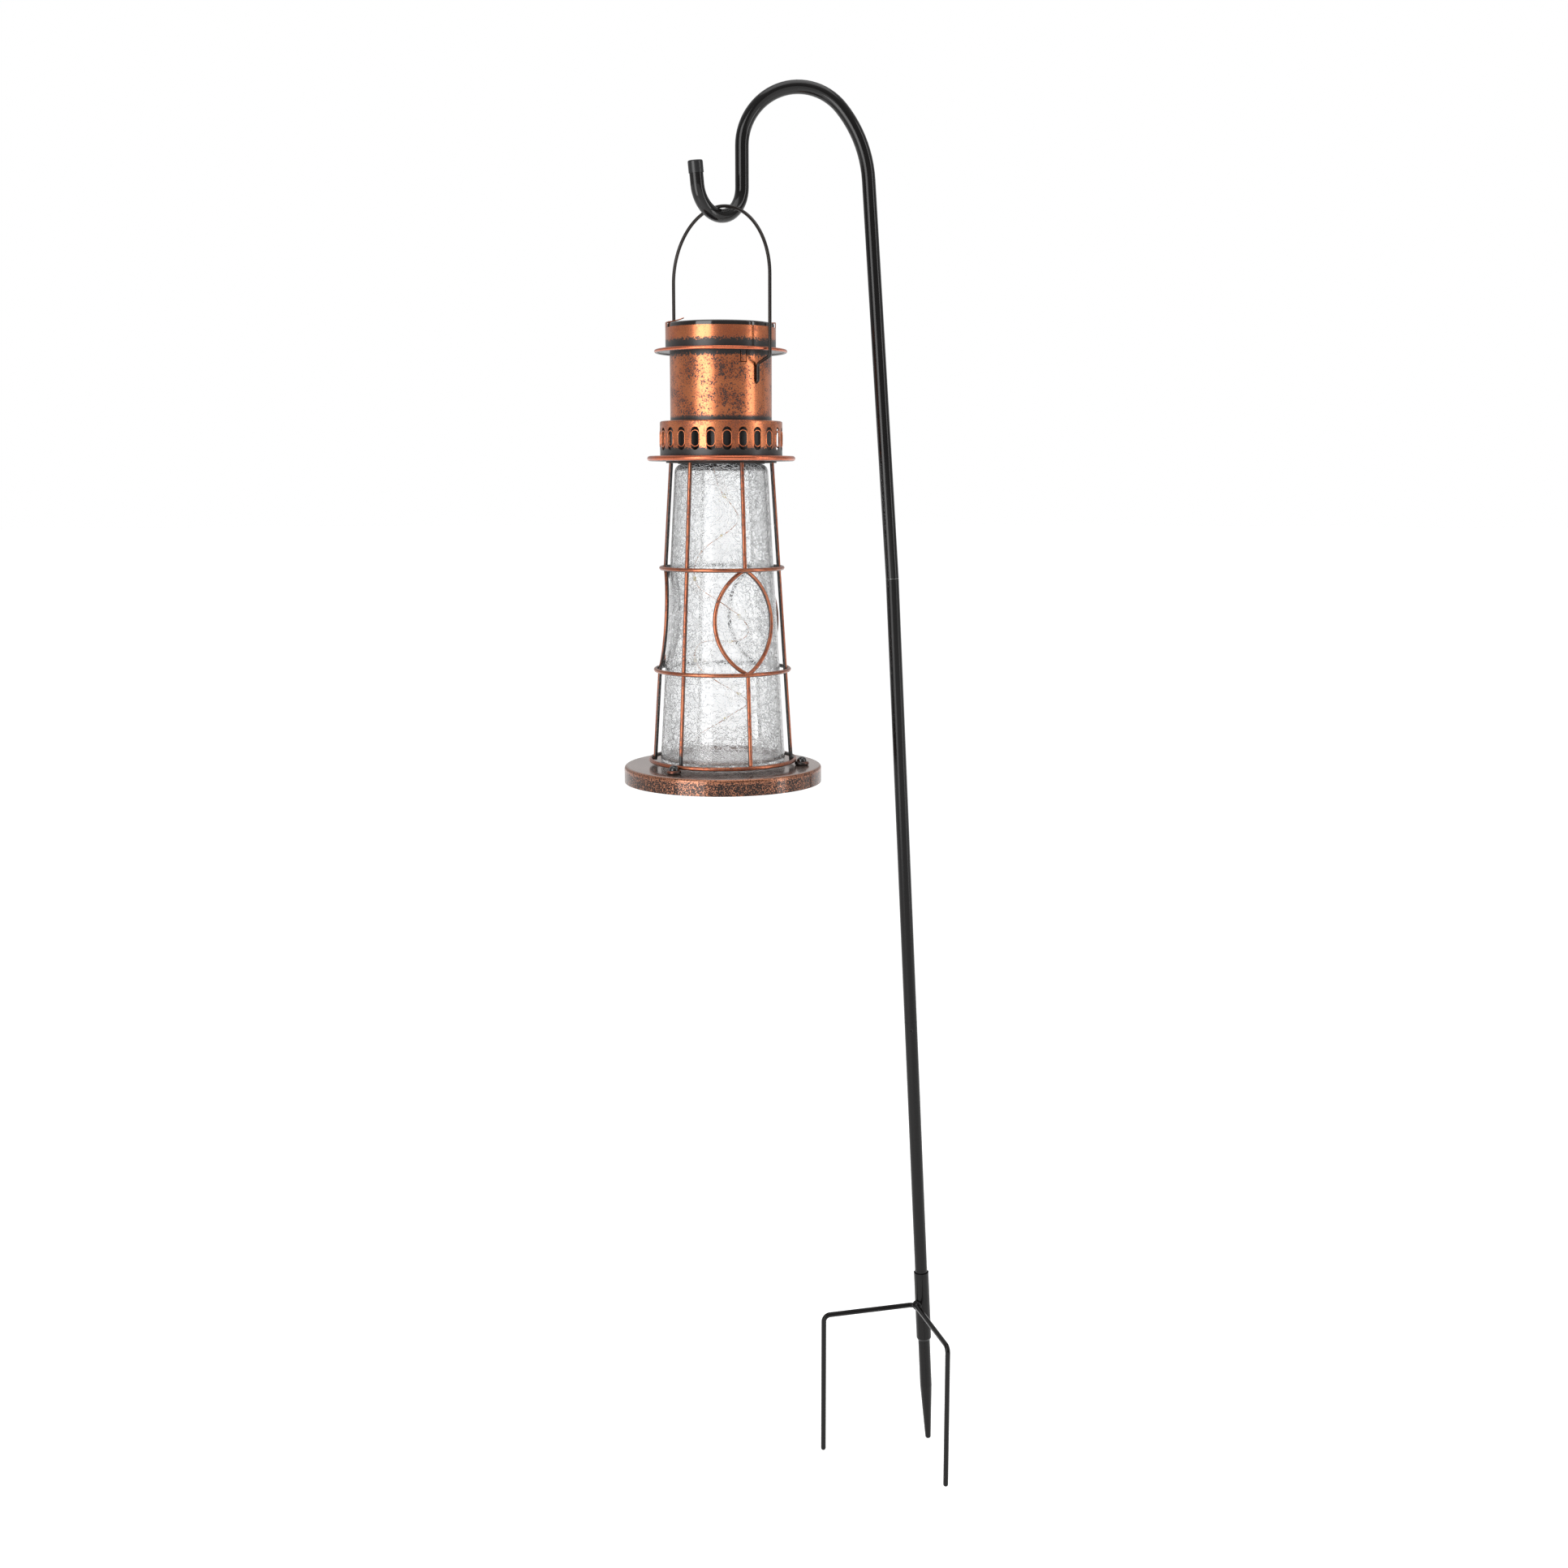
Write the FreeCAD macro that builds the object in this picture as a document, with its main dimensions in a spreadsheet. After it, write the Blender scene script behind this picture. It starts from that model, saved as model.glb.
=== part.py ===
"""Solar garden light: a lantern with a light string, hung from a sectional shepherd's hook with a fork stake.

Frame: origin on the pole axis at soil level, +Z up, the hook reaches towards -X.  Millimetres.
Azimuths are degrees about the lantern's own axis, counted from -Y towards +X.
"""
import FreeCAD
import Part
import Sketcher
import math
import os
import re
from FreeCAD import Placement, Rotation, Vector

UP = Vector(0, 0, 1)

SIZES = {
    # pole, made of plugged tube sections that lean towards the lantern
    "pole_outer": 10.0, "pole_wall": 0.8, "pole_lean": 2.96, "hook_lean": 3.96,
    "lower_seam": 240.0, "upper_seam": 589.0, "seam_gap": 0.25, "seat_gap": 0.2,
    "spigot_reach": 30.0, "fit_gap": 0.08, "dimple_drop": 5.5, "dimple_radius": 2.0, "dimple_depth": 0.5,
    # stake
    "sleeve_outer": "=pole_outer + 2", "sleeve_top": 30.0, "sleeve_mouth_wall": 0.45, "sleeve_mouth_depth": 8.0,
    "collar_top": -11.0, "collar_bottom": -28.0, "collar_chamfer": 1.8,
    "spike_outer": "=pole_outer - 0.4", "spike_taper": -68.0, "spike_tip": -115.0, "spike_tip_radius": 2.2,
    "fork_rod": 4.0, "fork_bend": 5.0, "fork_arm": 77.0, "fork_depth": 116.0, "fork_heading": 240.0,
    "fork_seat": 222.0, "fork_level": 3.1,
    "fork_weld_radius": 4.2, "weld_gap": 0.05,
    # shepherd's hook
    "crook_top": 944.3, "crook_bend": 41.0, "crook_shoulder": 40.0, "drop_x": -143.4,
    "hook_bottom": "=crook_top - 92.5", "hook_bend": 22.25, "hook_turn": 45.0, "tip_run": 15.4, "tip_flare": 7.0,
    "tip_cap_wall": 0.4, "tip_cap_length": 7.5, "tip_cap_end": 1.2,
    # bail
    "bail_wire": 2.5, "bail_half_width": "=head_radius + 14", "bail_height": 125.75, "hang_gap": 0.3,
    "bail_azimuth": 45.0, "bail_kink_low": 12.5, "bail_kink_high": 17.5, "bail_bend": 3.2,
    "bail_end_depth": 3.5, "bail_wall_gap": 0.4, "bail_hole_gap": 0.35,
    # lantern base
    "base_radius": 75.0, "base_height": 12.5, "base_wall": 1.0, "base_edge": 2.4,
    "eyelet_azimuth": -35.0, "eyelet_circle": "=cage_foot_radius + 8", "eyelet_radius": 4.0,
    "screw_head_radius": 3.8, "screw_head_height": 3.6, "screw_shank": 3.0, "screw_length": 9.0,
    "screw_hole_gap": 0.2, "nut_across": 5.5, "nut_height": 2.4,
    # wire cage
    "cage_wire": 3.0, "weld_sink": 0.2, "cage_foot_radius": "=glass_foot_radius + 4.7", "cage_top_radius": "=glass_shoulder_radius + 3.2",
    "lower_ring_height": 85.3, "upper_ring_height": 161.4, "window_half_angle": 30.0,
    "cage_plate_inner": "=glass_shoulder_radius + 0.8", "cage_plate_outer": "=cage_plate_inner + 5.8", "cage_plate_height": 1.2,
    # glass jar
    "glass_foot_radius": 47.6, "glass_shoulder_radius": 34.4, "glass_shoulder_height": 232.0,
    "glass_wall": 2.8, "glass_floor": 5.0, "glass_bend": 6.0, "glass_neck_radius": "=glass_shoulder_radius - 6.4",
    "glass_neck_top": "=deck_height + 12", "glass_foot_bend": 4.0, "gasket_height": 1.4, "glass_gap": 0.5,
    # gallery
    "deck_height": "=glass_shoulder_height + 8", "deck_wall": 1.0, "deck_radius": "=gallery_radius + 9.6", "deck_bead": 1.9, "deck_dish": 1.4,
    "deck_hole_gap": 0.7, "gallery_radius": "=head_radius + 7.8", "gallery_top": "=deck_height + 29", "gallery_wall": 0.8,
    "gallery_edge": 1.2, "slot_width": 6.5, "slot_height": 16.5, "slot_middle": "=deck_height + 16",
    "slot_azimuth": 7.3, "gallery_mouth": "=head_radius + 0.05",
    # head
    "head_radius": 37.5, "head_wall": 0.8, "head_top": "=gallery_top + 64", "pivot_height": "=head_top - 36.4",
    "flange_height": "=head_top - 14", "flange_radius": "=head_radius + 11.4", "flange_wall": 0.8, "flange_bead": 1.25, "flange_dish": 1.2,
    "tongue_width": 5.3, "tongue_height": 8.4, "tongue_cut": 0.6, "tongue_drop": 0.6, "tongue_azimuth": -32.0,
    # lid
    "skirt_radius": "=head_radius + 3.1", "skirt_wall": 0.8, "skirt_bottom": "=head_top - 12.1", "skirt_top": "=head_top + 2.9", "shelf_inner": "=head_radius - 4.5",
    "window_radius": "=skirt_radius - 1.3", "window_top": "=skirt_top + 3.4", "window_rim": 1.2, "window_edge": 1.2,
    "cell_side": 50.0, "cell_height": 0.7, "lid_gap": 0.1,
    "tab_wall": 0.5, "tab_width": 8.0, "tab_reach": 4.5,
    "tab_1_azimuth": -78.0, "tab_2_azimuth": 88.0, "tab_3_azimuth": 157.0,
    # electronics housing under the solar panel
    "housing_radius": "=head_radius - 6", "housing_wall": 1.6, "housing_plate": 1.2, "housing_bottom": "=head_top - 47",
    "floor_height": 2.4, "board_height": 1.6, "board_drop": 11.0, "board_ledge": 2.0,
    "battery_radius": 7.1, "battery_length": 43.0, "battery_y": 6.0, "battery_lift": 0.6,
    "contact_wall": 0.4, "contact_width": 9.0,
    "door_length": 48.0, "door_width": 17.0, "door_wall": 1.2, "door_lap": 1.5,
    "door_screw_radius": 1.2, "door_screw_head": 2.1, "door_screw_x": 8.0, "door_tongue": 6.0,
    "switch_x": 12.0, "switch_y": -14.0, "switch_length": 9.0, "switch_width": 5.0, "switch_height": 5.0,
    "knob_length": 3.4, "knob_width": 2.4, "knob_drop": 1.8, "knob_travel": 3.0, "knob_gap": 0.3,
    # light string
    "string_wire": 0.7, "string_x": -7.0, "string_y": -8.0, "string_start": 289.0,
    "grommet_radius": 1.9, "grommet_flange": 3.2, "grommet_lip": 1.2,
    "led_radius": 1.6, "led_pitch": 46.0, "led_first": 76.0,
}

# route of the light string in the lantern's frame, from the grommet down
STRING_ROUTE = [
    (-7, -8, 289), (-7, -8, 262), (-6.5, -9, 240), (-2, -13, 220), (8, -12, 208), (14, -3, 198),
    (8, 7, 190), (-5, 10, 182), (-16, 4, 174), (-21, -8, 162), (-19, -15, 149), (-9, -19, 142),
    (4, -18, 134), (15, -13, 125), (21, -1, 115), (17, 12, 107), (5, 19, 104), (-8, 18, 106),
    (-19, 9, 104), (-22, -3, 95), (-16, -14, 86), (-4, -19, 78), (10, -17, 70), (19, -7, 63),
    (18, 6, 56), (8, 14, 50), (-5, 15, 41), (-17, 9, 36), (-21, -3, 32),
]

document = FreeCAD.newDocument("SolarGardenLight")
sheet = document.addObject("Spreadsheet::Sheet", "Sizes")
pieces = []


def fill_sheet():
    for row, alias in enumerate(SIZES, start=1):
        sheet.set(f"A{row}", alias)
        sheet.setAlias(f"B{row}", alias)
    for row, entry in enumerate(SIZES.values(), start=1):
        sheet.set(f"B{row}", str(entry))
    document.recompute()


def size(alias):
    return float(sheet.get(alias))


def bind(item, field, formula):
    """Tie a property to a formula written with the sheet's aliases."""
    tied = re.sub(r"[a-z][a-z_0-9]*", lambda word: "Sizes." + word[0] if word[0] in SIZES else word[0], formula)
    item.setExpression(field, tied)


def keep(item, label, place=None):
    item.Label = label
    if place is not None:
        item.Placement = place
    pieces.append(item)
    return item


def around(azimuth, radius, height=0.0):
    """Point at an azimuth, radius and height about the lantern's axis."""
    angle = math.radians(azimuth)
    return Vector(radius * math.sin(angle), -radius * math.cos(angle), height)


def along(start, end):
    """Placement that puts +Z along the way from start to end."""
    return Placement(start, Rotation(UP, end - start))


# ---- features of a turned or moulded body ----

def origin_plane(body, role):
    return [plane for plane in body.Origin.OriginFeatures if plane.Role == role][0]


def new_sketch(body, name, role):
    sketch = body.newObject("Sketcher::SketchObject", name)
    sketch.AttachmentSupport = [(origin_plane(body, role), "")]
    sketch.MapMode = "FlatFace"
    return sketch


def tie(sketch, kind, name, formula, *ends, start=1.0):
    """Add a named dimension to a sketch and tie it to a formula; start is its size until then."""
    index = sketch.addConstraint(Sketcher.Constraint(kind, *ends, start))
    sketch.renameConstraint(index, name)
    bind(sketch, f"Constraints.{name}", formula)


def outline(sketch, corners):
    """Closed outline of straight lines; each corner is a pair of formulas."""
    count = len(corners)
    start = [Vector(40 + 30 * math.cos(math.tau * i / count), 30 * math.sin(math.tau * i / count), 0)
             for i in range(count)]
    for i in range(count):
        sketch.addGeometry(Part.LineSegment(start[i], start[(i + 1) % count]), False)
    for i in range(count):
        sketch.addConstraint(Sketcher.Constraint("Coincident", i, 2, (i + 1) % count, 1))
        tie(sketch, "DistanceX", f"across{i}", corners[i][0], -1, 1, i, 1)
        tie(sketch, "DistanceY", f"up{i}", corners[i][1], -1, 1, i, 1)


def turned(label, corners, rounds=None, place=None):
    """Body turned about Z from an outline of (radius, height); rounds maps a corner's number to a radius."""
    body = document.addObject("PartDesign::Body", "Body_" + label)
    sketch = new_sketch(body, label + "_outline", "XZ_Plane")
    outline(sketch, corners)
    turn = body.newObject("PartDesign::Revolution", label + "_turn")
    turn.Profile = sketch
    turn.ReferenceAxis = (sketch, ["V_Axis"])
    turn.Angle = 360
    document.recompute()
    for number, formula in (rounds or {}).items():
        corner = sketch.Geometry[number].StartPoint
        round_edge(body, f"{label}_round{number}", corner.x, corner.y, formula)
    return keep(body, label, place)


def round_edge(body, name, radius, height, formula):
    """Fillet the circular edge that lies at a radius and a height."""
    base = body.Tip
    names = [f"Edge{i}" for i, edge in enumerate(base.Shape.Edges, start=1)
             if isinstance(edge.Curve, Part.Circle) and abs(edge.Curve.Radius - radius) < 1e-4
             and abs(edge.Curve.Center.z - height) < 1e-4]
    fillet = body.newObject("PartDesign::Fillet", name)
    fillet.Base = (base, names)
    bind(fillet, "Radius", formula)
    document.recompute()


def pocket(body, sketch, name, depth=None):
    """Cut a sketch out of a body, to a depth on one side or right through."""
    before = body.Shape.Volume
    cut = body.newObject("PartDesign::Pocket", name)
    cut.Profile = sketch
    if depth is None:
        cut.Type = 1
        cut.Midplane = True
    else:
        bind(cut, "Length", depth)
    document.recompute()
    if depth is not None and body.Shape.Volume > before - 1e-6:
        cut.Reversed = True
        document.recompute()
    if body.Shape.Volume > before - 1e-6:
        raise RuntimeError(name + " cuts nothing")
    return cut


def around_axis(body, feature, name, count):
    """Repeat a feature of a body about its Z axis."""
    pattern = body.newObject("PartDesign::PolarPattern", name)
    pattern.Originals = [feature]
    pattern.Axis = (origin_axis(body), [""])
    pattern.Angle = 360
    pattern.Occurrences = count
    body.Tip = pattern
    document.recompute()


def origin_axis(body):
    return [axis for axis in body.Origin.OriginFeatures if axis.Role == "Z_Axis"][0]


def round_hole(body, name, x, y, radius, role="XY_Plane", depth=None):
    """Round hole; x, y and radius are formulas in the plane of the sketch."""
    sketch = new_sketch(body, name + "_circle", role)
    sketch.addGeometry(Part.Circle(Vector(10, 10, 0), UP, 1.0), False)
    tie(sketch, "DistanceX", "across", x, -1, 1, 0, 3)
    tie(sketch, "DistanceY", "up", y, -1, 1, 0, 3)
    tie(sketch, "Radius", "radius", radius, 0)
    return pocket(body, sketch, name, depth)


def box_hole(body, name, x, y, length, width):
    """Rectangular hole through a flat body, centred on x and y."""
    sketch = new_sketch(body, name + "_box", "XY_Plane")
    outline(sketch, [(f"{x} - {length} / 2", f"{y} - {width} / 2"), (f"{x} + {length} / 2", f"{y} - {width} / 2"),
                     (f"{x} + {length} / 2", f"{y} + {width} / 2"), (f"{x} - {length} / 2", f"{y} + {width} / 2")])
    return pocket(body, sketch, name)


# ---- wires and tubes ----

def corner_arc(before, corner, after, radius):
    """Arc that rounds a corner of a route, with its two ends."""
    back, ahead = (before - corner).normalize(), (after - corner).normalize()
    half = back.getAngle(ahead) / 2
    reach = radius / math.tan(half)
    middle = (back + ahead).normalize() * (radius / math.sin(half) - radius)
    start, end = corner + back * reach, corner + ahead * reach
    return start, end, Part.Arc(start, corner + middle, end).toShape()


def route(points, radii):
    """Wire of straight runs joined by tangent arcs."""
    edges = []
    here = points[0]
    for before, corner, after, radius in zip(points, points[1:], points[2:], radii):
        start, end, arc = corner_arc(before, corner, after, radius)
        if (start - here).Length > 1e-6:
            edges.append(Part.LineSegment(here, start).toShape())
        edges.append(arc)
        here = end
    if (points[-1] - here).Length > 1e-6:
        edges.append(Part.LineSegment(here, points[-1]).toShape())
    return Part.Wire(edges)


def rod(path, radius):
    """Round rod along a path."""
    start = path.Edges[0].valueAt(path.Edges[0].FirstParameter)
    heading = path.Edges[0].tangentAt(path.Edges[0].FirstParameter)
    return path.makePipeShell([Part.Wire(Part.makeCircle(radius, start, heading))], True, False)


def free_feature(label, shape, place=None):
    item = document.addObject("Part::Feature", "Piece_" + label)
    item.Shape = shape
    return keep(item, label, (place or Placement()) * item.Placement)


def plain_rod(label, radius, start, end, place):
    """Straight round rod between two points of a frame."""
    item = document.addObject("Part::Cylinder", "Piece_" + label)
    bind(item, "Radius", radius)
    item.Height = (end - start).Length
    return keep(item, label, place * along(start, end))


def plain_box(label, x, y, z, length, width, height, place):
    """Block centred on x and y that stands on z; the sizes are formulas, the place is numbers."""
    item = document.addObject("Part::Box", "Piece_" + label)
    for field, formula in (("Length", length), ("Width", width), ("Height", height)):
        bind(item, field, formula)
    document.recompute()
    corner = Vector(x - item.Length.Value / 2, y - item.Width.Value / 2, z)
    return keep(item, label, place * Placement(corner, Rotation()))


# ---- frames ----

def pole_place(distance=0.0):
    """Frame of the stake and the two lower tubes, a distance up their leaning axis."""
    lean = Rotation(Vector(0, 1, 0), -size("pole_lean"))
    return Placement(lean.multVec(UP * distance), lean)


def hook_place():
    """Frame of the hook section: it starts at the upper seam and leans a little more."""
    return Placement(pole_place(size("upper_seam")).Base, Rotation(Vector(0, 1, 0), -size("hook_lean")))


def hook_seat():
    """Middle of the hook's lowest cross-section, where the bail hangs."""
    turn = math.radians(size("hook_turn"))
    return Vector(size("drop_x") - size("hook_bend") * math.cos(turn),
                  -size("hook_bend") * math.sin(turn), size("hook_bottom"))


def lantern_place():
    """Frame of the lantern: its axis at X = Y = 0 and the foot of its base at Z = 0."""
    apex = size("pole_outer") / 2 + size("hang_gap") + size("bail_wire") / 2
    drop = apex - size("bail_height") - size("pivot_height")
    return Placement(hook_seat() + UP * drop, Rotation())


# ---- stake ----

def make_spike(place):
    turned("spike", [
        ("0", "spike_tip"), ("spike_tip_radius", "spike_tip"), ("spike_outer / 2", "spike_taper"),
        ("spike_outer / 2", "-seat_gap"), ("0", "-seat_gap"),
    ], {1: "spike_tip_radius * 0.8"}, place)


def make_collar(place):
    bore = "spike_outer / 2 + weld_gap"
    turned("spike_collar", [
        (bore, "collar_bottom"), ("sleeve_outer / 2 - collar_chamfer / 2", "collar_bottom"),
        ("sleeve_outer / 2", "collar_bottom + collar_chamfer"), ("sleeve_outer / 2", "collar_top - weld_gap"),
        (bore, "collar_top - weld_gap"),
    ], None, place)


def make_sleeve(place):
    bore = "pole_outer / 2 + fit_gap"
    mouth = "sleeve_outer / 2 - sleeve_mouth_wall"
    turned("fork_sleeve", [
        (bore, "collar_top"), ("sleeve_outer / 2", "collar_top"), ("sleeve_outer / 2", "sleeve_top"),
        (mouth, "sleeve_top"), (mouth, "sleeve_top - sleeve_mouth_depth"),
        (bore, "sleeve_top - sleeve_mouth_depth - 1"),
    ], None, place)


def heading_vector(degrees):
    return Vector(math.cos(math.radians(degrees)), math.sin(math.radians(degrees)), 0)


def fork_corner():
    """Corner of the fork's two arms; the bend between them just meets the side of the sleeve."""
    reach = (size("sleeve_outer") + size("fork_rod")) / 2 + size("weld_gap") * 5 + size("fork_bend")
    bend_centre = heading_vector(size("fork_seat")) * reach
    return bend_centre - heading_vector(size("fork_heading")) * size("fork_bend") * math.sqrt(2) \
        + UP * size("fork_level")


def fork_prong(side):
    """Top of one prong's straight run, at the end of its arm; side is -1 or +1."""
    return fork_corner() + heading_vector(size("fork_heading") + 45 * side) * size("fork_arm")


def make_fork():
    """One rod bent into two arms and two prongs, with round ends."""
    left, right = fork_prong(-1), fork_prong(1)
    radius = size("fork_rod") / 2
    drop = UP * (size("fork_depth") - radius)
    bends = [size("fork_bend")] * 3
    shape = rod(route([left - drop, left, fork_corner(), right, right - drop], bends), radius)
    for prong in (left, right):
        shape = shape.fuse(Part.makeSphere(radius, prong - drop))
    free_feature("prong_fork", shape.removeSplitter())


def make_fork_weld(place):
    """Weld bead between the sleeve and the corner of the fork."""
    middle = heading_vector(size("fork_seat")) * (size("sleeve_outer") / 2 + size("weld_gap")) \
        + UP * size("fork_level")
    bead = Part.makeSphere(size("fork_weld_radius"), middle)
    core = Part.makeCylinder(size("sleeve_outer") / 2, size("sleeve_top") * 2, UP * -size("sleeve_top"))
    core.Placement = place
    fork = [item for item in pieces if item.Label == "prong_fork"][0].Shape
    free_feature("fork_weld", bead.cut(core).cut(fork))


# ---- pole ----

def dimpled_tube(label, bottom, top, heading, place):
    """Pole section with a locating dimple just below its upper end."""
    inner = "pole_outer / 2 - pole_wall"
    tube = turned(label + "_tube", [
        (inner, bottom), ("pole_outer / 2", bottom), ("pole_outer / 2", top), (inner, top)])
    pieces.remove(tube)
    punch = document.addObject("Part::Sphere", "Punch_" + label)
    bind(punch, "Radius", "dimple_radius")
    height = tube.Shape.BoundBox.ZMax - size("dimple_drop")
    punch.Placement.Base = around(heading, size("pole_outer") / 2 + size("dimple_radius") - size("dimple_depth"), height)
    section = document.addObject("Part::Cut", "Piece_" + label)
    section.Base, section.Tool = tube, punch
    document.recompute()
    return keep(section, label, place)


def make_pole(place):
    dimpled_tube("lower_pole", "0", "lower_seam", 0, place)
    dimpled_tube("middle_pole", "lower_seam + seam_gap", "upper_seam", -40, place)
    reach = size("spigot_reach")
    spigot = "pole_outer / 2 - pole_wall - fit_gap"
    seam = size("lower_seam")
    plain_rod("lower_spigot", spigot, UP * (seam - reach), UP * (seam + reach), place)


def make_upper_spigot():
    """Plug between the middle tube and the hook; its upper half follows the hook's lean."""
    radius = size("pole_outer") / 2 - size("pole_wall") - size("fit_gap")
    reach = size("spigot_reach")
    lower = Part.makeCylinder(radius, reach, Vector(0, 0, -reach))
    lower.Placement = pole_place(size("upper_seam"))
    upper = Part.makeCylinder(radius, reach)
    upper.Placement = hook_place()
    joint = Part.makeSphere(radius, hook_place().Base)
    free_feature("upper_spigot", lower.fuse([upper, joint]).removeSplitter())


def meet(point, heading, x):
    """Point where a line in the XZ plane, leaning by heading from +Z towards -X, crosses a vertical at x."""
    rise = (point.x - x) / math.tan(math.radians(heading))
    return Vector(x, 0, point.z + rise)


def crook_corners():
    """The two corners of the crook's route and the bends that round them.

    The small bend's middle is set by the drop and the top; the shoulder bend fills the run between
    the small bend and the leaning tube.
    """
    bend, shoulder = size("crook_bend"), math.radians(size("crook_shoulder"))
    centre = Vector(size("drop_x") + bend, 0, size("crook_top") - bend)
    touch = centre + Vector(math.cos(shoulder), 0, math.sin(shoulder)) * bend
    over = meet(touch, size("crook_shoulder"), size("drop_x"))
    foot = hook_place().Base
    lean = math.radians(size("hook_lean"))
    rise = (touch.x - foot.x + (touch.z - foot.z) * math.tan(shoulder)) / (math.tan(shoulder) - math.tan(lean))
    start = Vector(foot.x - rise * math.tan(lean), 0, foot.z + rise)
    fill = (touch - start).Length / math.tan((shoulder - lean) / 2)
    return [start, over], [fill, bend]


def hook_route():
    """Middle line of the hook section, from the upper seam to the tip."""
    corners, bends = crook_corners()
    turn, flare = math.radians(size("hook_turn")), math.radians(size("tip_flare"))
    across = Vector(-math.cos(turn), -math.sin(turn), 0)
    drop = Vector(size("drop_x"), 0, size("hook_bottom"))
    bend = size("hook_bend")
    swing = across * math.sin(flare) + UP * math.cos(flare)
    reach = bend * math.tan((math.pi / 2 - flare) / 2)
    turn_point = drop + across * (bend + reach)
    tip = turn_point + swing * (reach + size("tip_run"))
    foot = hook_place().multVec(UP * size("seam_gap"))
    return [foot, *corners, drop, turn_point, tip], [*bends, bend, bend]


def make_hook():
    points, bends = hook_route()
    path = route(points, bends)
    outer = size("pole_outer") / 2
    free_feature("hook_tube", rod(path, outer).cut(rod(path, outer - size("pole_wall"))))


def make_tip_cap():
    points, _ = hook_route()
    place = along(points[-1], points[-1] * 2 - points[-2])
    bore, outer = "pole_outer / 2 + weld_gap", "pole_outer / 2 + weld_gap + tip_cap_wall"
    turned("hook_tip_cap", [
        ("0", "weld_gap"), (bore, "weld_gap"), (bore, "-tip_cap_length"), (outer, "-tip_cap_length"),
        (outer, "weld_gap + tip_cap_end"), ("0", "weld_gap + tip_cap_end"),
    ], {4: "tip_cap_end * 0.9"}, place)


# ---- bail ----

def bail_side(side):
    """Points of one half of the bail, from its inner end up; side is -1 or +1."""
    azimuth = size("bail_azimuth") + (0 if side > 0 else 180)
    wall = size("head_radius") + size("bail_wall_gap") + size("bail_wire") / 2
    pivot = size("pivot_height")
    return [
        around(azimuth, size("head_radius") - size("bail_end_depth"), pivot),
        around(azimuth, wall, pivot),
        around(azimuth, wall, pivot + size("bail_kink_low")),
        around(azimuth, size("bail_half_width"), pivot + size("bail_kink_high")),
        around(azimuth, size("bail_half_width"), pivot + size("bail_height")),
    ]


def make_bail(place):
    bend, arch = size("bail_bend"), size("bail_half_width")
    inner = size("bail_wire") * 0.6
    radii = [inner, bend, bend, arch, arch, bend, bend, inner]
    path = route(bail_side(1) + bail_side(-1)[::-1], radii)
    free_feature("bail", rod(path, size("bail_wire") / 2), place)


# ---- lantern base and cage ----

def make_base(place):
    pan = turned("base_pan", [
        ("base_radius", "0"), ("base_radius", "base_height"), ("0", "base_height"),
        ("0", "base_height - base_wall"), ("base_radius - base_wall", "base_height - base_wall"),
        ("base_radius - base_wall", "0"),
    ], {1: "base_edge", 4: "base_edge - base_wall"}, place)
    hole = round_hole(pan, "screw_hole", "eyelet_circle * sin(eyelet_azimuth)",
                      "-eyelet_circle * cos(eyelet_azimuth)", "screw_shank / 2 + screw_hole_gap")
    around_axis(pan, hole, "screw_holes", 3)


def eyelet_azimuths():
    return [size("eyelet_azimuth") + 120 * step for step in range(3)]


def make_screws(place):
    """Domed screws that clamp the eyelets to the base, with a nut under each."""
    head, height, shank = size("screw_head_radius"), size("screw_head_height"), size("screw_shank") / 2
    seat = size("base_height") + size("cage_wire") + size("weld_gap")
    dome_radius = (head ** 2 + height ** 2) / (2 * height)
    dome = Part.makeSphere(dome_radius, UP * (height - dome_radius))
    dome = dome.common(Part.makeCylinder(head, height))
    screw = dome.fuse(Part.makeCylinder(shank, size("screw_length"), UP * -size("screw_length")))
    corner = size("nut_across") / math.sqrt(3)
    hexagon = [Vector(corner * math.cos(math.radians(60 * i)), corner * math.sin(math.radians(60 * i)), 0)
               for i in range(7)]
    nut = Part.Face(Part.makePolygon(hexagon)).extrude(UP * -size("nut_height"))
    nut = nut.cut(Part.makeCylinder(shank + size("weld_gap"), size("nut_height") * 3, UP * -size("nut_height") * 2))
    under = size("base_height") - size("base_wall") - size("weld_gap")
    spots = [around(azimuth, size("eyelet_circle")) for azimuth in eyelet_azimuths()]
    free_feature("dome_screws", Part.makeCompound([screw.translated(spot + UP * seat) for spot in spots]), place)
    free_feature("screw_nuts", Part.makeCompound([nut.translated(spot + UP * under) for spot in spots]), place)


def make_eyelets(place):
    for number, azimuth in enumerate(eyelet_azimuths(), start=1):
        eyelet = document.addObject("Part::Torus", f"Eyelet{number}")
        bind(eyelet, "Radius1", "eyelet_radius")
        bind(eyelet, "Radius2", "cage_wire / 2")
        spot = around(azimuth, size("eyelet_circle"), size("base_height") + size("cage_wire") / 2)
        keep(eyelet, f"eyelet_{number}", place * Placement(spot, Rotation()))


def cage_radius(height):
    """Radius of the uprights' middle line: they lean in from the base to the deck."""
    share = (height - size("base_height")) / (size("deck_height") - size("base_height"))
    return size("cage_foot_radius") + (size("cage_top_radius") - size("cage_foot_radius")) * share


def bottom_ring_height():
    return size("base_height") + 1.5 * size("cage_wire") - size("weld_sink")


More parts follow.
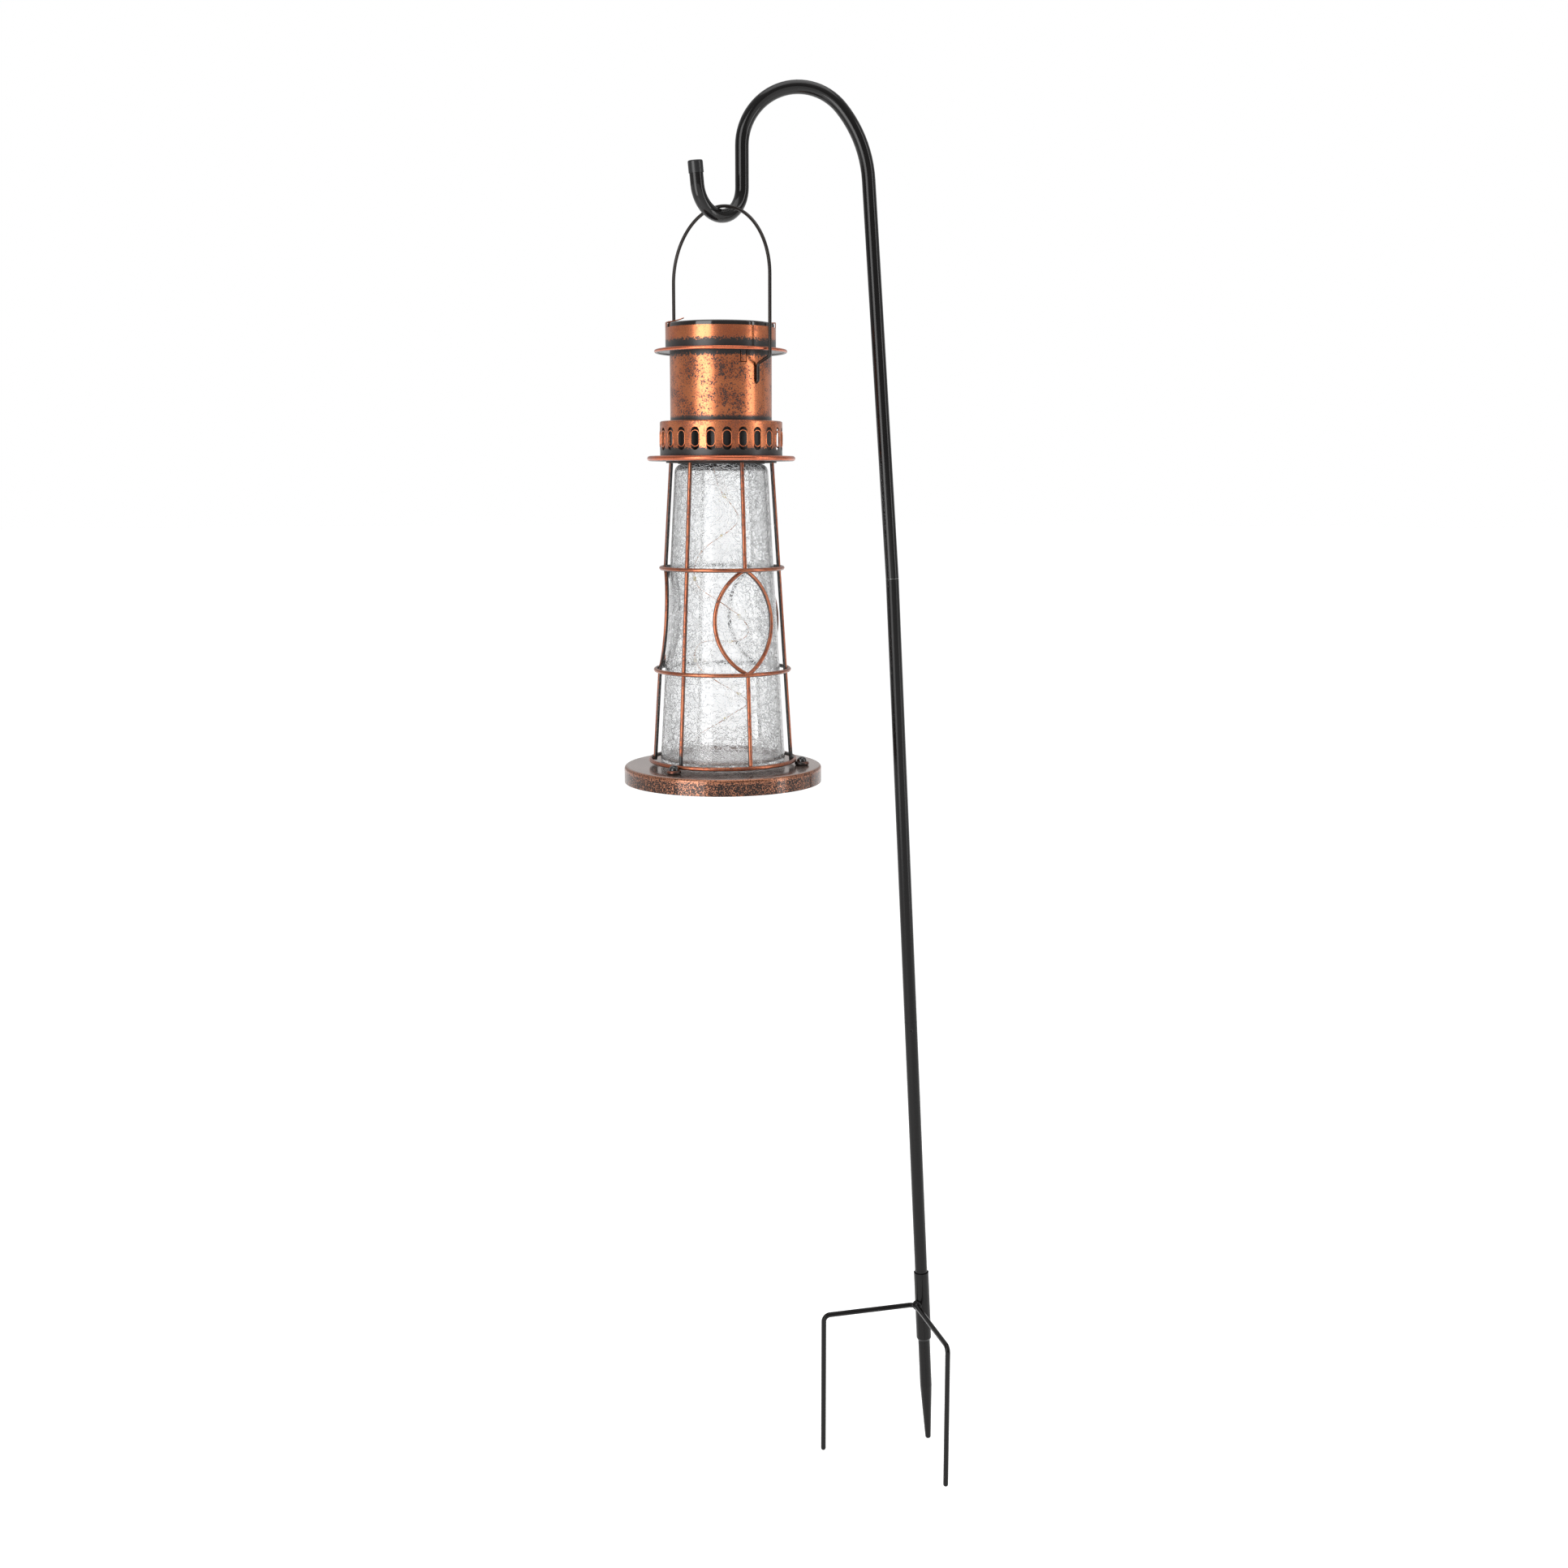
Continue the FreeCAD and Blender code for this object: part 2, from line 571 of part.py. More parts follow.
def make_rings(place):
    """Hoops round the outside of the uprights."""
    heights = {"cage_bottom_ring": bottom_ring_height(), "cage_lower_ring": size("lower_ring_height"),
               "cage_upper_ring": size("upper_ring_height")}
    for label, height in heights.items():
        hoop = document.addObject("Part::Torus", "Hoop_" + label)
        hoop.Radius1 = cage_radius(height) + size("cage_wire") - size("weld_sink")
        bind(hoop, "Radius2", "cage_wire / 2")
        keep(hoop, label, place * Placement(UP * height, Rotation()))


def make_uprights(place):
    """Three whole uprights, and three that are broken by a window between the two upper hoops."""
    foot = bottom_ring_height() - size("cage_wire") / 2
    top = size("deck_height") - size("cage_plate_height") - size("weld_gap") * 3
    spans = {"long_upright": (foot, top, 0), "lower_stub": (foot, size("lower_ring_height"), 60),
             "upper_stub": (size("upper_ring_height"), top, 60)}
    for label, (low, high, turn) in spans.items():
        for number, azimuth in enumerate(eyelet_azimuths(), start=1):
            ends = [around(azimuth + turn, cage_radius(height), height) for height in (low, high)]
            plain_rod(f"{label}_{number}", "cage_wire / 2", *ends, place)


def window_side(azimuth, side):
    """One side of a window: an arc of wire from tip to tip, mitred where it meets the other side."""
    low, high = size("lower_ring_height"), size("upper_ring_height")
    middle = (low + high) / 2
    tips = [around(azimuth, cage_radius(height), height) for height in (low, high)]
    bulge = around(azimuth + side * size("window_half_angle"), cage_radius(middle), middle)
    circle = Part.Circle(tips[0], bulge, tips[1])
    overrun = 2 * size("cage_wire") / circle.Radius
    arc = Part.ArcOfCircle(circle, circle.parameter(tips[0]) - overrun, circle.parameter(tips[1]) + overrun)
    wire = rod(Part.Wire(arc.toShape()), size("cage_wire") / 2)
    reach = size("deck_radius") * 2
    corner = Vector(0 if side > 0 else -reach, -reach, middle - reach / 2)
    half_space = Part.makeBox(reach, reach, reach, corner)
    half_space.rotate(Vector(), UP, azimuth)
    return wire.common(half_space)


def make_windows(place):
    """Pointed oval loops of wire, each side an arc bent round the cage."""
    for number, azimuth in enumerate(eyelet_azimuths(), start=1):
        sides = [window_side(azimuth + 60, side) for side in (-1, 1)]
        free_feature(f"window_loop_{number}", sides[0].fuse(sides[1]).removeSplitter(), place)


def make_cage_plate(place):
    top = "deck_height - weld_gap"
    turned("cage_top_plate", [
        ("cage_plate_inner", f"{top} - cage_plate_height"), ("cage_plate_outer", f"{top} - cage_plate_height"),
        ("cage_plate_outer", top), ("cage_plate_inner", top),
    ], None, place)


# ---- glass ----

def make_glass(place):
    seat = "base_height + weld_gap"
    slope = "(glass_foot_radius - glass_shoulder_radius) / (glass_shoulder_height - base_height)"
    shoulder = "glass_shoulder_height + glass_bend"
    inner_foot = f"glass_foot_radius - glass_wall - {slope} * glass_floor"
    inner_top = "glass_shoulder_radius - glass_wall"
    turned("glass_jar", [
        ("0", seat), ("glass_foot_radius", seat), ("glass_shoulder_radius", shoulder),
        ("glass_neck_radius", shoulder), ("glass_neck_radius", "glass_neck_top"),
        ("glass_neck_radius - glass_wall", "glass_neck_top"),
        ("glass_neck_radius - glass_wall", f"{shoulder} - glass_wall"),
        (inner_top, f"{shoulder} - glass_wall"), (inner_foot, "base_height + glass_floor"),
        ("0", "base_height + glass_floor"),
    ], {1: "glass_foot_bend", 2: "glass_bend", 7: "glass_bend - glass_wall", 8: "glass_foot_bend"}, place)


def make_gasket(place):
    bottom = "glass_shoulder_height + glass_bend + weld_gap"
    turned("glass_gasket", [
        ("glass_neck_radius + weld_gap", bottom), ("cage_plate_inner - glass_gap * 6", bottom),
        ("cage_plate_inner - glass_gap * 6", f"{bottom} + gasket_height"),
        ("glass_neck_radius + weld_gap", f"{bottom} + gasket_height"),
    ], None, place)


# ---- gallery and head ----

def flange(label, inner, outer, inner_height, outer_height, wall, bead, place):
    """Dished ring with a rolled outer edge; the first five sizes are formulas."""
    disc = turned(label + "_disc", [
        (inner, inner_height), (f"{outer} - {bead}", outer_height),
        (f"{outer} - {bead}", f"{outer_height} + {wall}"), (inner, f"{inner_height} + {wall}")])
    pieces.remove(disc)
    roll = document.addObject("Part::Torus", "Roll_" + label)
    bind(roll, "Radius1", f"{outer} - {bead}")
    bind(roll, "Radius2", bead)
    bind(roll, "Placement.Base.z", f"{outer_height} + {wall} / 2")
    whole = document.addObject("Part::Fuse", "Piece_" + label)
    whole.Base, whole.Tool = disc, roll
    document.recompute()
    keep(whole, label, place)


def make_deck(place):
    flange("gallery_deck", "glass_neck_radius + deck_hole_gap", "deck_radius", "deck_height",
           "deck_height + deck_dish", "deck_wall", "deck_bead", place)


def gallery_floor():
    """Formula for the height where the band and the head stand on the deck."""
    return "deck_height + deck_wall + deck_dish + weld_gap"


def slot_outline(sketch):
    """Upright slot with round ends, centred on the sketch's vertical axis."""
    radius = size("slot_width") / 2
    reach = size("slot_height") / 2 - radius
    high, low = size("slot_middle") + reach, size("slot_middle") - reach
    top, bottom = (Part.Circle(Vector(0, height, 0), UP, radius) for height in (high, low))
    sketch.addGeometry(Part.ArcOfCircle(top, 0, math.pi), False)
    sketch.addGeometry(Part.LineSegment(Vector(-radius, high, 0), Vector(-radius, low, 0)), False)
    sketch.addGeometry(Part.ArcOfCircle(bottom, math.pi, math.tau), False)
    sketch.addGeometry(Part.LineSegment(Vector(radius, low, 0), Vector(radius, high, 0)), False)
    for here, there in ((0, 1), (1, 2), (2, 3), (3, 0)):
        sketch.addConstraint(Sketcher.Constraint("Tangent", here, 2, there, 1))
    for arc in (0, 2):
        sketch.addConstraint(Sketcher.Constraint("PointOnObject", arc, 3, -2))
    sketch.addConstraint(Sketcher.Constraint("Equal", 0, 2))
    tie(sketch, "Radius", "end_radius", "slot_width / 2", 0, start=radius)
    tie(sketch, "DistanceY", "top", "slot_middle + slot_height / 2 - slot_width / 2", -1, 1, 0, 3, start=high)
    tie(sketch, "DistanceY", "bottom", "slot_middle - slot_height / 2 + slot_width / 2", -1, 1, 2, 3, start=low)


def make_gallery(place):
    """Perforated band with a flat top, round the foot of the head."""
    turned_place = place * Placement(Vector(), Rotation(UP, size("slot_azimuth")))
    floor = gallery_floor()
    band = turned("gallery_band", [
        ("gallery_radius - gallery_wall", floor), ("gallery_radius", floor), ("gallery_radius", "gallery_top"),
        ("gallery_mouth", "gallery_top"), ("gallery_mouth", "gallery_top - gallery_wall"),
        ("gallery_radius - gallery_wall", "gallery_top - gallery_wall"),
    ], {2: "gallery_edge"}, turned_place)
    sketch = new_sketch(band, "slot_outline", "XZ_Plane")
    slot_outline(sketch)
    slot = pocket(band, sketch, "vent_slot", "gallery_radius + 1")
    around_axis(band, slot, "vent_slots", 24)


def make_head(place):
    """Cylinder from the deck to the lid, with a hole for each end of the bail and three lanced tongues."""
    inner, floor = "head_radius - head_wall", gallery_floor()
    cylinder = turned("head_cylinder", [
        (inner, floor), ("head_radius", floor), ("head_radius", "head_top"), (inner, "head_top"),
    ], None, place * Placement(Vector(), Rotation(UP, size("bail_azimuth"))))
    round_hole(cylinder, "bail_holes", "0", "pivot_height", "bail_wire / 2 + bail_hole_gap", "XZ_Plane")
    cut_tongues(cylinder)


def cut_tongues(cylinder):
    """U-shaped cuts that leave tongues, spaced by a third of a turn."""
    top = "flange_height - tongue_drop"
    half = "tongue_width / 2"
    sketch = new_sketch(cylinder, "tongue_outline", "XZ_Plane")
    outline(sketch, [
        (f"-{half}", top), (f"-{half}", f"{top} - tongue_height"), (half, f"{top} - tongue_height"), (half, top),
        (f"{half} - tongue_cut", top), (f"{half} - tongue_cut", f"{top} - tongue_height + tongue_cut"),
        (f"-{half} + tongue_cut", f"{top} - tongue_height + tongue_cut"), (f"-{half} + tongue_cut", top),
    ])
    turn = math.radians(size("tongue_azimuth") - size("bail_azimuth"))
    sketch.AttachmentOffset = Placement(Vector(), Rotation(Vector(0, 1, 0), math.degrees(turn)))
    cut = pocket(cylinder, sketch, "tongue", "head_radius + 1")
    around_axis(cylinder, cut, "tongues", 3)


def make_upper_flange(place):
    flange("upper_flange", "head_radius + weld_gap", "flange_radius", "flange_height + flange_dish",
           "flange_height", "flange_wall", "flange_bead", place)


# ---- lid ----

def make_skirt(place):
    """Cap that drops over the head; its inner shelf rests on the head's rim."""
    shelf = "head_top + seat_gap"
    inner = "skirt_radius - skirt_wall"
    turned("lid_skirt", [
        (inner, "skirt_bottom"), ("skirt_radius", "skirt_bottom"), ("skirt_radius", "skirt_top"),
        (inner, "skirt_top"), (inner, f"{shelf} + skirt_wall"), ("shelf_inner", f"{shelf} + skirt_wall"),
        ("shelf_inner", shelf), (inner, shelf),
    ], None, place)


def panel_height():
    """Formula for the underside of the solar window's rim."""
    return "head_top + seat_gap + skirt_wall + lid_gap + housing_plate + lid_gap"


def make_window(place):
    base = panel_height()
    recess = f"{base} + cell_height + lid_gap * 2"
    inner = "window_radius - window_rim"
    turned("solar_window", [
        ("0", recess), (inner, recess), (inner, base), ("window_radius", base),
        ("window_radius", "window_top"), ("0", "window_top"),
    ], {4: "window_edge"}, place)


def make_cell(place):
    height = size("head_top") + size("seat_gap") + size("skirt_wall") + size("lid_gap") * 3 + size("housing_plate")
    plain_box("solar_cell", 0, 0, height, "cell_side", "cell_side", "cell_height", place)


def make_tabs(place):
    """Thin leaves of the skirt's rim, bent in over the window."""
    wall, width, reach = size("tab_wall"), size("tab_width"), size("tab_reach")
    low = size("skirt_top") + size("weld_gap")
    high = size("window_top") + size("lid_gap")
    leaf = Part.makeBox(width, wall, high - low + wall, Vector(-width / 2, -size("skirt_radius") + 0.1, low))
    lip = Part.makeBox(width, reach, wall, Vector(-width / 2, -size("skirt_radius") + 0.1, high))
    tab = leaf.fuse(lip).removeSplitter()
    tabs = []
    for number in (1, 2, 3):
        turn = Rotation(UP, size(f"tab_{number}_azimuth"))
        tabs.append(tab.transformed(Placement(Vector(), turn).toMatrix()))
    free_feature("rim_tabs", Part.makeCompound(tabs), place)


def make_housing(place):
    """Cup that hangs under the panel, open below, with a ledge for the circuit board."""
    top = "head_top + seat_gap + skirt_wall + lid_gap + housing_plate"
    wall = "housing_radius - housing_wall"
    ledge = f"{top} - board_drop"
    turned("cell_housing", [
        ("0", top), ("window_radius", top), ("window_radius", f"{top} - housing_plate"),
        ("housing_radius", f"{top} - housing_plate"), ("housing_radius", "housing_bottom"),
        (wall, "housing_bottom"), (wall, ledge), (f"{wall} - board_ledge", ledge),
        (f"{wall} - board_ledge", f"{top} - housing_plate"), ("0", f"{top} - housing_plate"),
    ], None, place)
    board = f"{wall} - lid_gap"
    turned("circuit_board", [
        ("0", f"{ledge} - lid_gap - board_height"), (board, f"{ledge} - lid_gap - board_height"),
        (board, f"{ledge} - lid_gap"), ("0", f"{ledge} - lid_gap")], None, place)


def make_floor(place):
    """Floor of the housing, with openings for the battery, the switch and the light string."""
    edge = "housing_radius - housing_wall - lid_gap"
    floor = turned("housing_floor", [
        ("0", "housing_bottom"), (edge, "housing_bottom"), (edge, "housing_bottom + floor_height"),
        ("0", "housing_bottom + floor_height")], None, place)
    box_hole(floor, "battery_opening", "0", "battery_y", "(door_length - door_lap * 2)", "(door_width - door_lap * 2)")
    box_hole(floor, "knob_opening", "(switch_x + knob_travel / 2)", "switch_y",
             "(knob_length + knob_travel + knob_gap * 2)", "(knob_width + knob_gap * 2)")
    round_hole(floor, "string_hole", "string_x", "string_y", "grommet_radius + weld_gap")
    round_hole(floor, "door_screw_hole", "door_screw_x", "battery_y - door_width / 2 - door_tongue / 2",
               "door_screw_radius + weld_gap")


def make_door(place):
    """Battery door with a tongue that takes its screw."""
    door_y = size("battery_y")
    under = size("housing_bottom") - size("lid_gap") - size("door_wall")
    length, width, wall = size("door_length"), size("door_width"), size("door_wall")
    tongue = size("door_tongue")
    plate = Part.makeBox(length, width, wall, Vector(-length / 2, door_y - width / 2, under))
    corner = Vector(size("door_screw_x") - tongue * 0.75, door_y - width / 2 - tongue, under)
    lug = Part.makeBox(tongue * 1.5, tongue, wall, corner)
    screw_y = door_y - width / 2 - tongue / 2
    hole = Part.makeCylinder(size("door_screw_radius") + size("weld_gap"), wall * 3,
                             Vector(size("door_screw_x"), screw_y, under - wall))
    free_feature("battery_door", plate.fuse(lug).removeSplitter().cut(hole), place)
    head = Part.makeCylinder(size("door_screw_head"), wall, Vector(0, 0, -wall))
    shank = Part.makeCylinder(size("door_screw_radius"), wall + size("floor_height"))
    spot = Vector(size("door_screw_x"), screw_y, under - size("weld_gap"))
    free_feature("door_screw", head.fuse(shank).removeSplitter().translated(spot), place)


def make_battery(place):
    radius, length = size("battery_radius"), size("battery_length")
    level = size("housing_bottom") + size("floor_height") + size("battery_lift") + radius
    y = size("battery_y")
    plain_rod("battery", "battery_radius", Vector(-length / 2, y, level), Vector(length / 2, y, level), place)
    wall, width, gap = size("contact_wall"), size("contact_width"), size("weld_gap")
    plates = [Part.makeBox(wall, width, width, Vector(x, y - width / 2, level - width / 2))
              for x in (length / 2 + gap, -length / 2 - gap - wall)]
    free_feature("battery_contacts", Part.makeCompound(plates), place)


def make_switch(place):
    floor = size("housing_bottom") + size("floor_height")
    x, y = size("switch_x") + size("knob_travel") / 2, size("switch_y")
    plain_box("switch_body", x, y, floor + size("knob_gap"), "switch_length", "switch_width", "switch_height", place)
    drop = size("knob_drop")
    plain_box("switch_knob", size("switch_x"), y, size("housing_bottom") - drop,
              "knob_length", "knob_width", "knob_drop + floor_height", place)


# ---- light string ----

def string_points():
    return [Vector(*point) for point in STRING_ROUTE]


def string_bends(points):
    """Largest bend that fits each corner: 0.45 of the shorter run beside it."""
    bends = []
    for before, corner, after in zip(points, points[1:], points[2:]):
        shorter = min((corner - before).Length, (after - corner).Length)
        turn = (corner - before).getAngle(after - corner)
        bends.append(0.45 * shorter / math.tan(turn / 2))
    return bends


def make_string(place):
    points = string_points()
    bends = string_bends(points)
    path = route(points, bends)
    radius = size("string_wire") / 2
    wire = rod(path, radius)
    print("string bends", " ".join(f"{bend:.1f}" for bend in bends))
    print(f"string length {path.Length:.1f}, volume / (section x length) = "
          f"{wire.Volume / (math.pi * radius ** 2 * path.Length):.4f}")
    free_feature("light_string", wire, place)
    count = 1 + int((path.Length - size("led_first")) // size("led_pitch"))
    spots = path.discretize(Number=int(path.Length * 2) + 1)
    step = path.Length / (len(spots) - 1)
    beads = []
    for number in range(count):
        spot = spots[round((size("led_first") + number * size("led_pitch")) / step)]
        beads.append(Part.makeSphere(size("led_radius"), spot))
    free_feature("led_beads", Part.makeCompound(beads), place)


def make_grommet(place):
    bore = "string_wire / 2 + weld_gap"
    spot = Placement(Vector(size("string_x"), size("string_y"), 0), Rotation())
    turned("string_grommet", [
        (bore, "housing_bottom - lid_gap - grommet_lip"),
        ("grommet_flange", "housing_bottom - lid_gap - grommet_lip"),
        ("grommet_flange", "housing_bottom - lid_gap"), ("grommet_radius", "housing_bottom - lid_gap"),
        ("grommet_radius", "housing_bottom + floor_height"), (bore, "housing_bottom + floor_height"),
    ], {1: "grommet_lip * 0.6"}, place * spot)


def build():
    fill_sheet()
    pole, lantern = pole_place(), lantern_place()
    for make in (make_spike, make_collar, make_sleeve):
        make(pole)
    make_fork()
    make_fork_weld(pole)
    make_pole(pole)
    make_upper_spigot()
    make_hook()
    make_tip_cap()
    for make in (make_bail, make_base, make_screws, make_eyelets, make_rings, make_uprights, make_windows,
                 make_cage_plate, make_glass, make_gasket, make_deck, make_gallery, make_head,
                 make_upper_flange, make_skirt, make_window, make_cell, make_tabs, make_housing,
                 make_floor, make_door, make_battery, make_switch, make_string, make_grommet):
        make(lantern)
    document.recompute()


def check():
    """Refuse a failed feature or an empty or broken shape."""
    for item in document.Objects:
        if "Invalid" in item.State or "Error" in item.State:
            raise RuntimeError(f"{item.Label} failed: {item.State}")
    for item in pieces:
        if item.Shape.isNull() or not item.Shape.isValid() or not item.Shape.Solids:
            raise RuntimeError(f"{item.Label} has no sound shape")


def write():
    os.makedirs("parts", exist_ok=True)
    for item in pieces:
        item.Shape.exportStep(f"parts/{item.Label}.step")
    place = lantern_place().Base
    print(f"{len(pieces)} pieces; lantern frame at {place.x:.3f}, {place.y:.3f}, {place.z:.3f}")


build()
check()
write()
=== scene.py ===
"""Finish for a solar garden light: metals, glass, welds, light string and a small studio round it."""
import math

import bpy
from bpy.props import FloatProperty, FloatVectorProperty, IntProperty, PointerProperty
from bpy.types import Operator, Panel, PropertyGroup
from mathutils import Matrix, Vector


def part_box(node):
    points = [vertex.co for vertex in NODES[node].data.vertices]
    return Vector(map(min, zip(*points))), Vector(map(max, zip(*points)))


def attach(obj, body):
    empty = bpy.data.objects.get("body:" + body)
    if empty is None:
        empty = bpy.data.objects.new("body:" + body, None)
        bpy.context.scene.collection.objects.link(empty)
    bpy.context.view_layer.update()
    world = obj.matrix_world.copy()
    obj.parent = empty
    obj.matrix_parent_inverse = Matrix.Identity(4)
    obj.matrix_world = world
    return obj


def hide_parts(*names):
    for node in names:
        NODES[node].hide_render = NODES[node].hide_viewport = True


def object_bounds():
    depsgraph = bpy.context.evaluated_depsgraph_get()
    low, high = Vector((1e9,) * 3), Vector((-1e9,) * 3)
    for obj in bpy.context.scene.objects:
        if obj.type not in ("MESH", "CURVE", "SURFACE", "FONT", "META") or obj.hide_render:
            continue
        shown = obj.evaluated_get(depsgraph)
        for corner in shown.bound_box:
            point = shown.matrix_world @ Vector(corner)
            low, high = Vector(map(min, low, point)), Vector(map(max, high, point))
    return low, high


bl_info = {
    "name": "Solar Garden Light Finish",
    "version": (1, 0, 0),
    "blender": (4, 5, 0),
    "location": "View3D > Sidebar > Garden Light",
    "description": "Finishes a hanging solar garden light and sets up its studio",
    "category": "Object",
}

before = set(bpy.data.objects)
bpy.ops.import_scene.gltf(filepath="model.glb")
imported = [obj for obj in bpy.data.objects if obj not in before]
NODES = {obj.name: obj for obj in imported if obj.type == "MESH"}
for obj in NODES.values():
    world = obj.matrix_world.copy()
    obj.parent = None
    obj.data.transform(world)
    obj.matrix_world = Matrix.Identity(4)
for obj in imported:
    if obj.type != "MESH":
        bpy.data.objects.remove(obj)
CAD_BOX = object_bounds()
MM = 0.001


def middle(node):
    low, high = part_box(node)
    return (Vector(low) + Vector(high)) / 2


def bottom(node):
    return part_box(node)[0][2]


def top(node):
    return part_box(node)[1][2]


def half_width(node):
    low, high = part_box(node)
    return (high[0] - low[0]) / 2


AXIS = Vector((middle("base_pan").x, middle("base_pan").y, 0))
FOOT = bottom("base_pan")


def azimuth(node):
    """Direction of a node from the lantern's axis, in radians from -Y towards +X."""
    away = middle(node) - AXIS
    return math.atan2(away.x, -away.y)


def around(angle, radius, height):
    """Point about the lantern's axis."""
    return AXIS + Vector((radius * math.sin(angle), -radius * math.cos(angle), height))


# ---- sizes and colours that a user would change ----

class LightSizes(PropertyGroup):
    string_wire: FloatProperty(name="String wire", description="Diameter of the light string's wire",
                               default=0.7 * MM, unit="LENGTH", precision=5)
    bead_length: FloatProperty(name="Bead length", description="Length of one resin bead",
                               default=4.2 * MM, unit="LENGTH", precision=5)
    bead_width: FloatProperty(name="Bead width", description="Width of one resin bead",
                              default=2.8 * MM, unit="LENGTH", precision=5)
    bead_spacing: FloatProperty(name="Bead spacing", description="Distance from one bead to the next",
                                default=46 * MM, unit="LENGTH", precision=5)
    first_bead: FloatProperty(name="First bead", description="Distance along the string to the first bead",
                              default=76 * MM, unit="LENGTH", precision=5)
    weld_radius: FloatProperty(name="Weld radius", description="Radius of the weld beads on the cage",
                               default=1.9 * MM, unit="LENGTH", precision=5)
    rim_wire: FloatProperty(name="Slot rim", description="Radius of the raised edge round each vent slot",
                            default=0.38 * MM, unit="LENGTH", precision=5)


class LightColours(PropertyGroup):
    copper: FloatVectorProperty(name="Copper", description="Polished antique copper", subtype="COLOR",
                                size=3, min=0, max=1, default=(0.68, 0.215, 0.085))
    red_copper: FloatVectorProperty(name="Red copper", description="Darker, redder copper", subtype="COLOR",
                                    size=3, min=0, max=1, default=(0.46, 0.10, 0.035))
    # Also the colour of the painted shade on copper faces that turn in or down.
    patina: FloatVectorProperty(name="Patina", description="Black patina on the copper", subtype="COLOR",
                                size=3, min=0, max=1, default=(0.018, 0.015, 0.014))
    black: FloatVectorProperty(name="Black", description="Powder coat of the pole and stake",
                               subtype="COLOR", size=3, min=0, max=1, default=(0.0035, 0.0035, 0.004))
    bronze: FloatVectorProperty(name="Bronze", description="Dark bronze of the base", subtype="COLOR",
                                size=3, min=0, max=1, default=(0.40, 0.16, 0.085))
    resin: FloatVectorProperty(name="Resin", description="Resin of the string's beads", subtype="COLOR",
                               size=3, min=0, max=1, default=(0.85, 0.68, 0.30))


class StudioSizes(PropertyGroup):
    lens: FloatProperty(name="Lens", description="Focal length of the camera on a 36 mm sensor",
                        default=41.92, min=10, max=200)
    camera_pitch: FloatProperty(name="Pitch", description="How far the camera looks down", subtype="ANGLE",
                                default=math.radians(9.487))
    key_power: FloatProperty(name="Key power", description="Power of the large soft light",
                             default=13, unit="POWER")
    side_power: FloatProperty(name="Side power", description="Power of the narrow light",
                              default=4.5, unit="POWER")
    top_power: FloatProperty(name="Top power", description="Power of the light overhead",
                             default=6, unit="POWER")


# ---- shader maths ----

class Field:
    """A value in a shader that can be used like a number."""

    def __init__(self, shader, socket):
        self.shader = shader
        self.socket = socket

    def math(self, operation, *others):
        return self.shader.node("ShaderNodeMath", {"operation": operation}, self, *others)

    def __add__(self, other):
        return self.math("ADD", other)

    def __sub__(self, other):
        return self.math("SUBTRACT", other)

    def __mul__(self, other):
        return self.math("MULTIPLY", other)

    def __truediv__(self, other):
        return self.math("DIVIDE", other)

    def __lt__(self, other):
        return self.math("LESS_THAN", other)

    def __radd__(self, other):
        return self.math("ADD", other)

    def __rmul__(self, other):
        return self.math("MULTIPLY", other)

    def __rsub__(self, other):
        return self.shader.node("ShaderNodeMath", {"operation": "SUBTRACT"}, other, self)

    def __abs__(self):
        return self.math("ABSOLUTE")

    def clamp(self):
        return self.shader.node("ShaderNodeMath", {"operation": "ADD", "use_clamp": True}, self, 0.0)


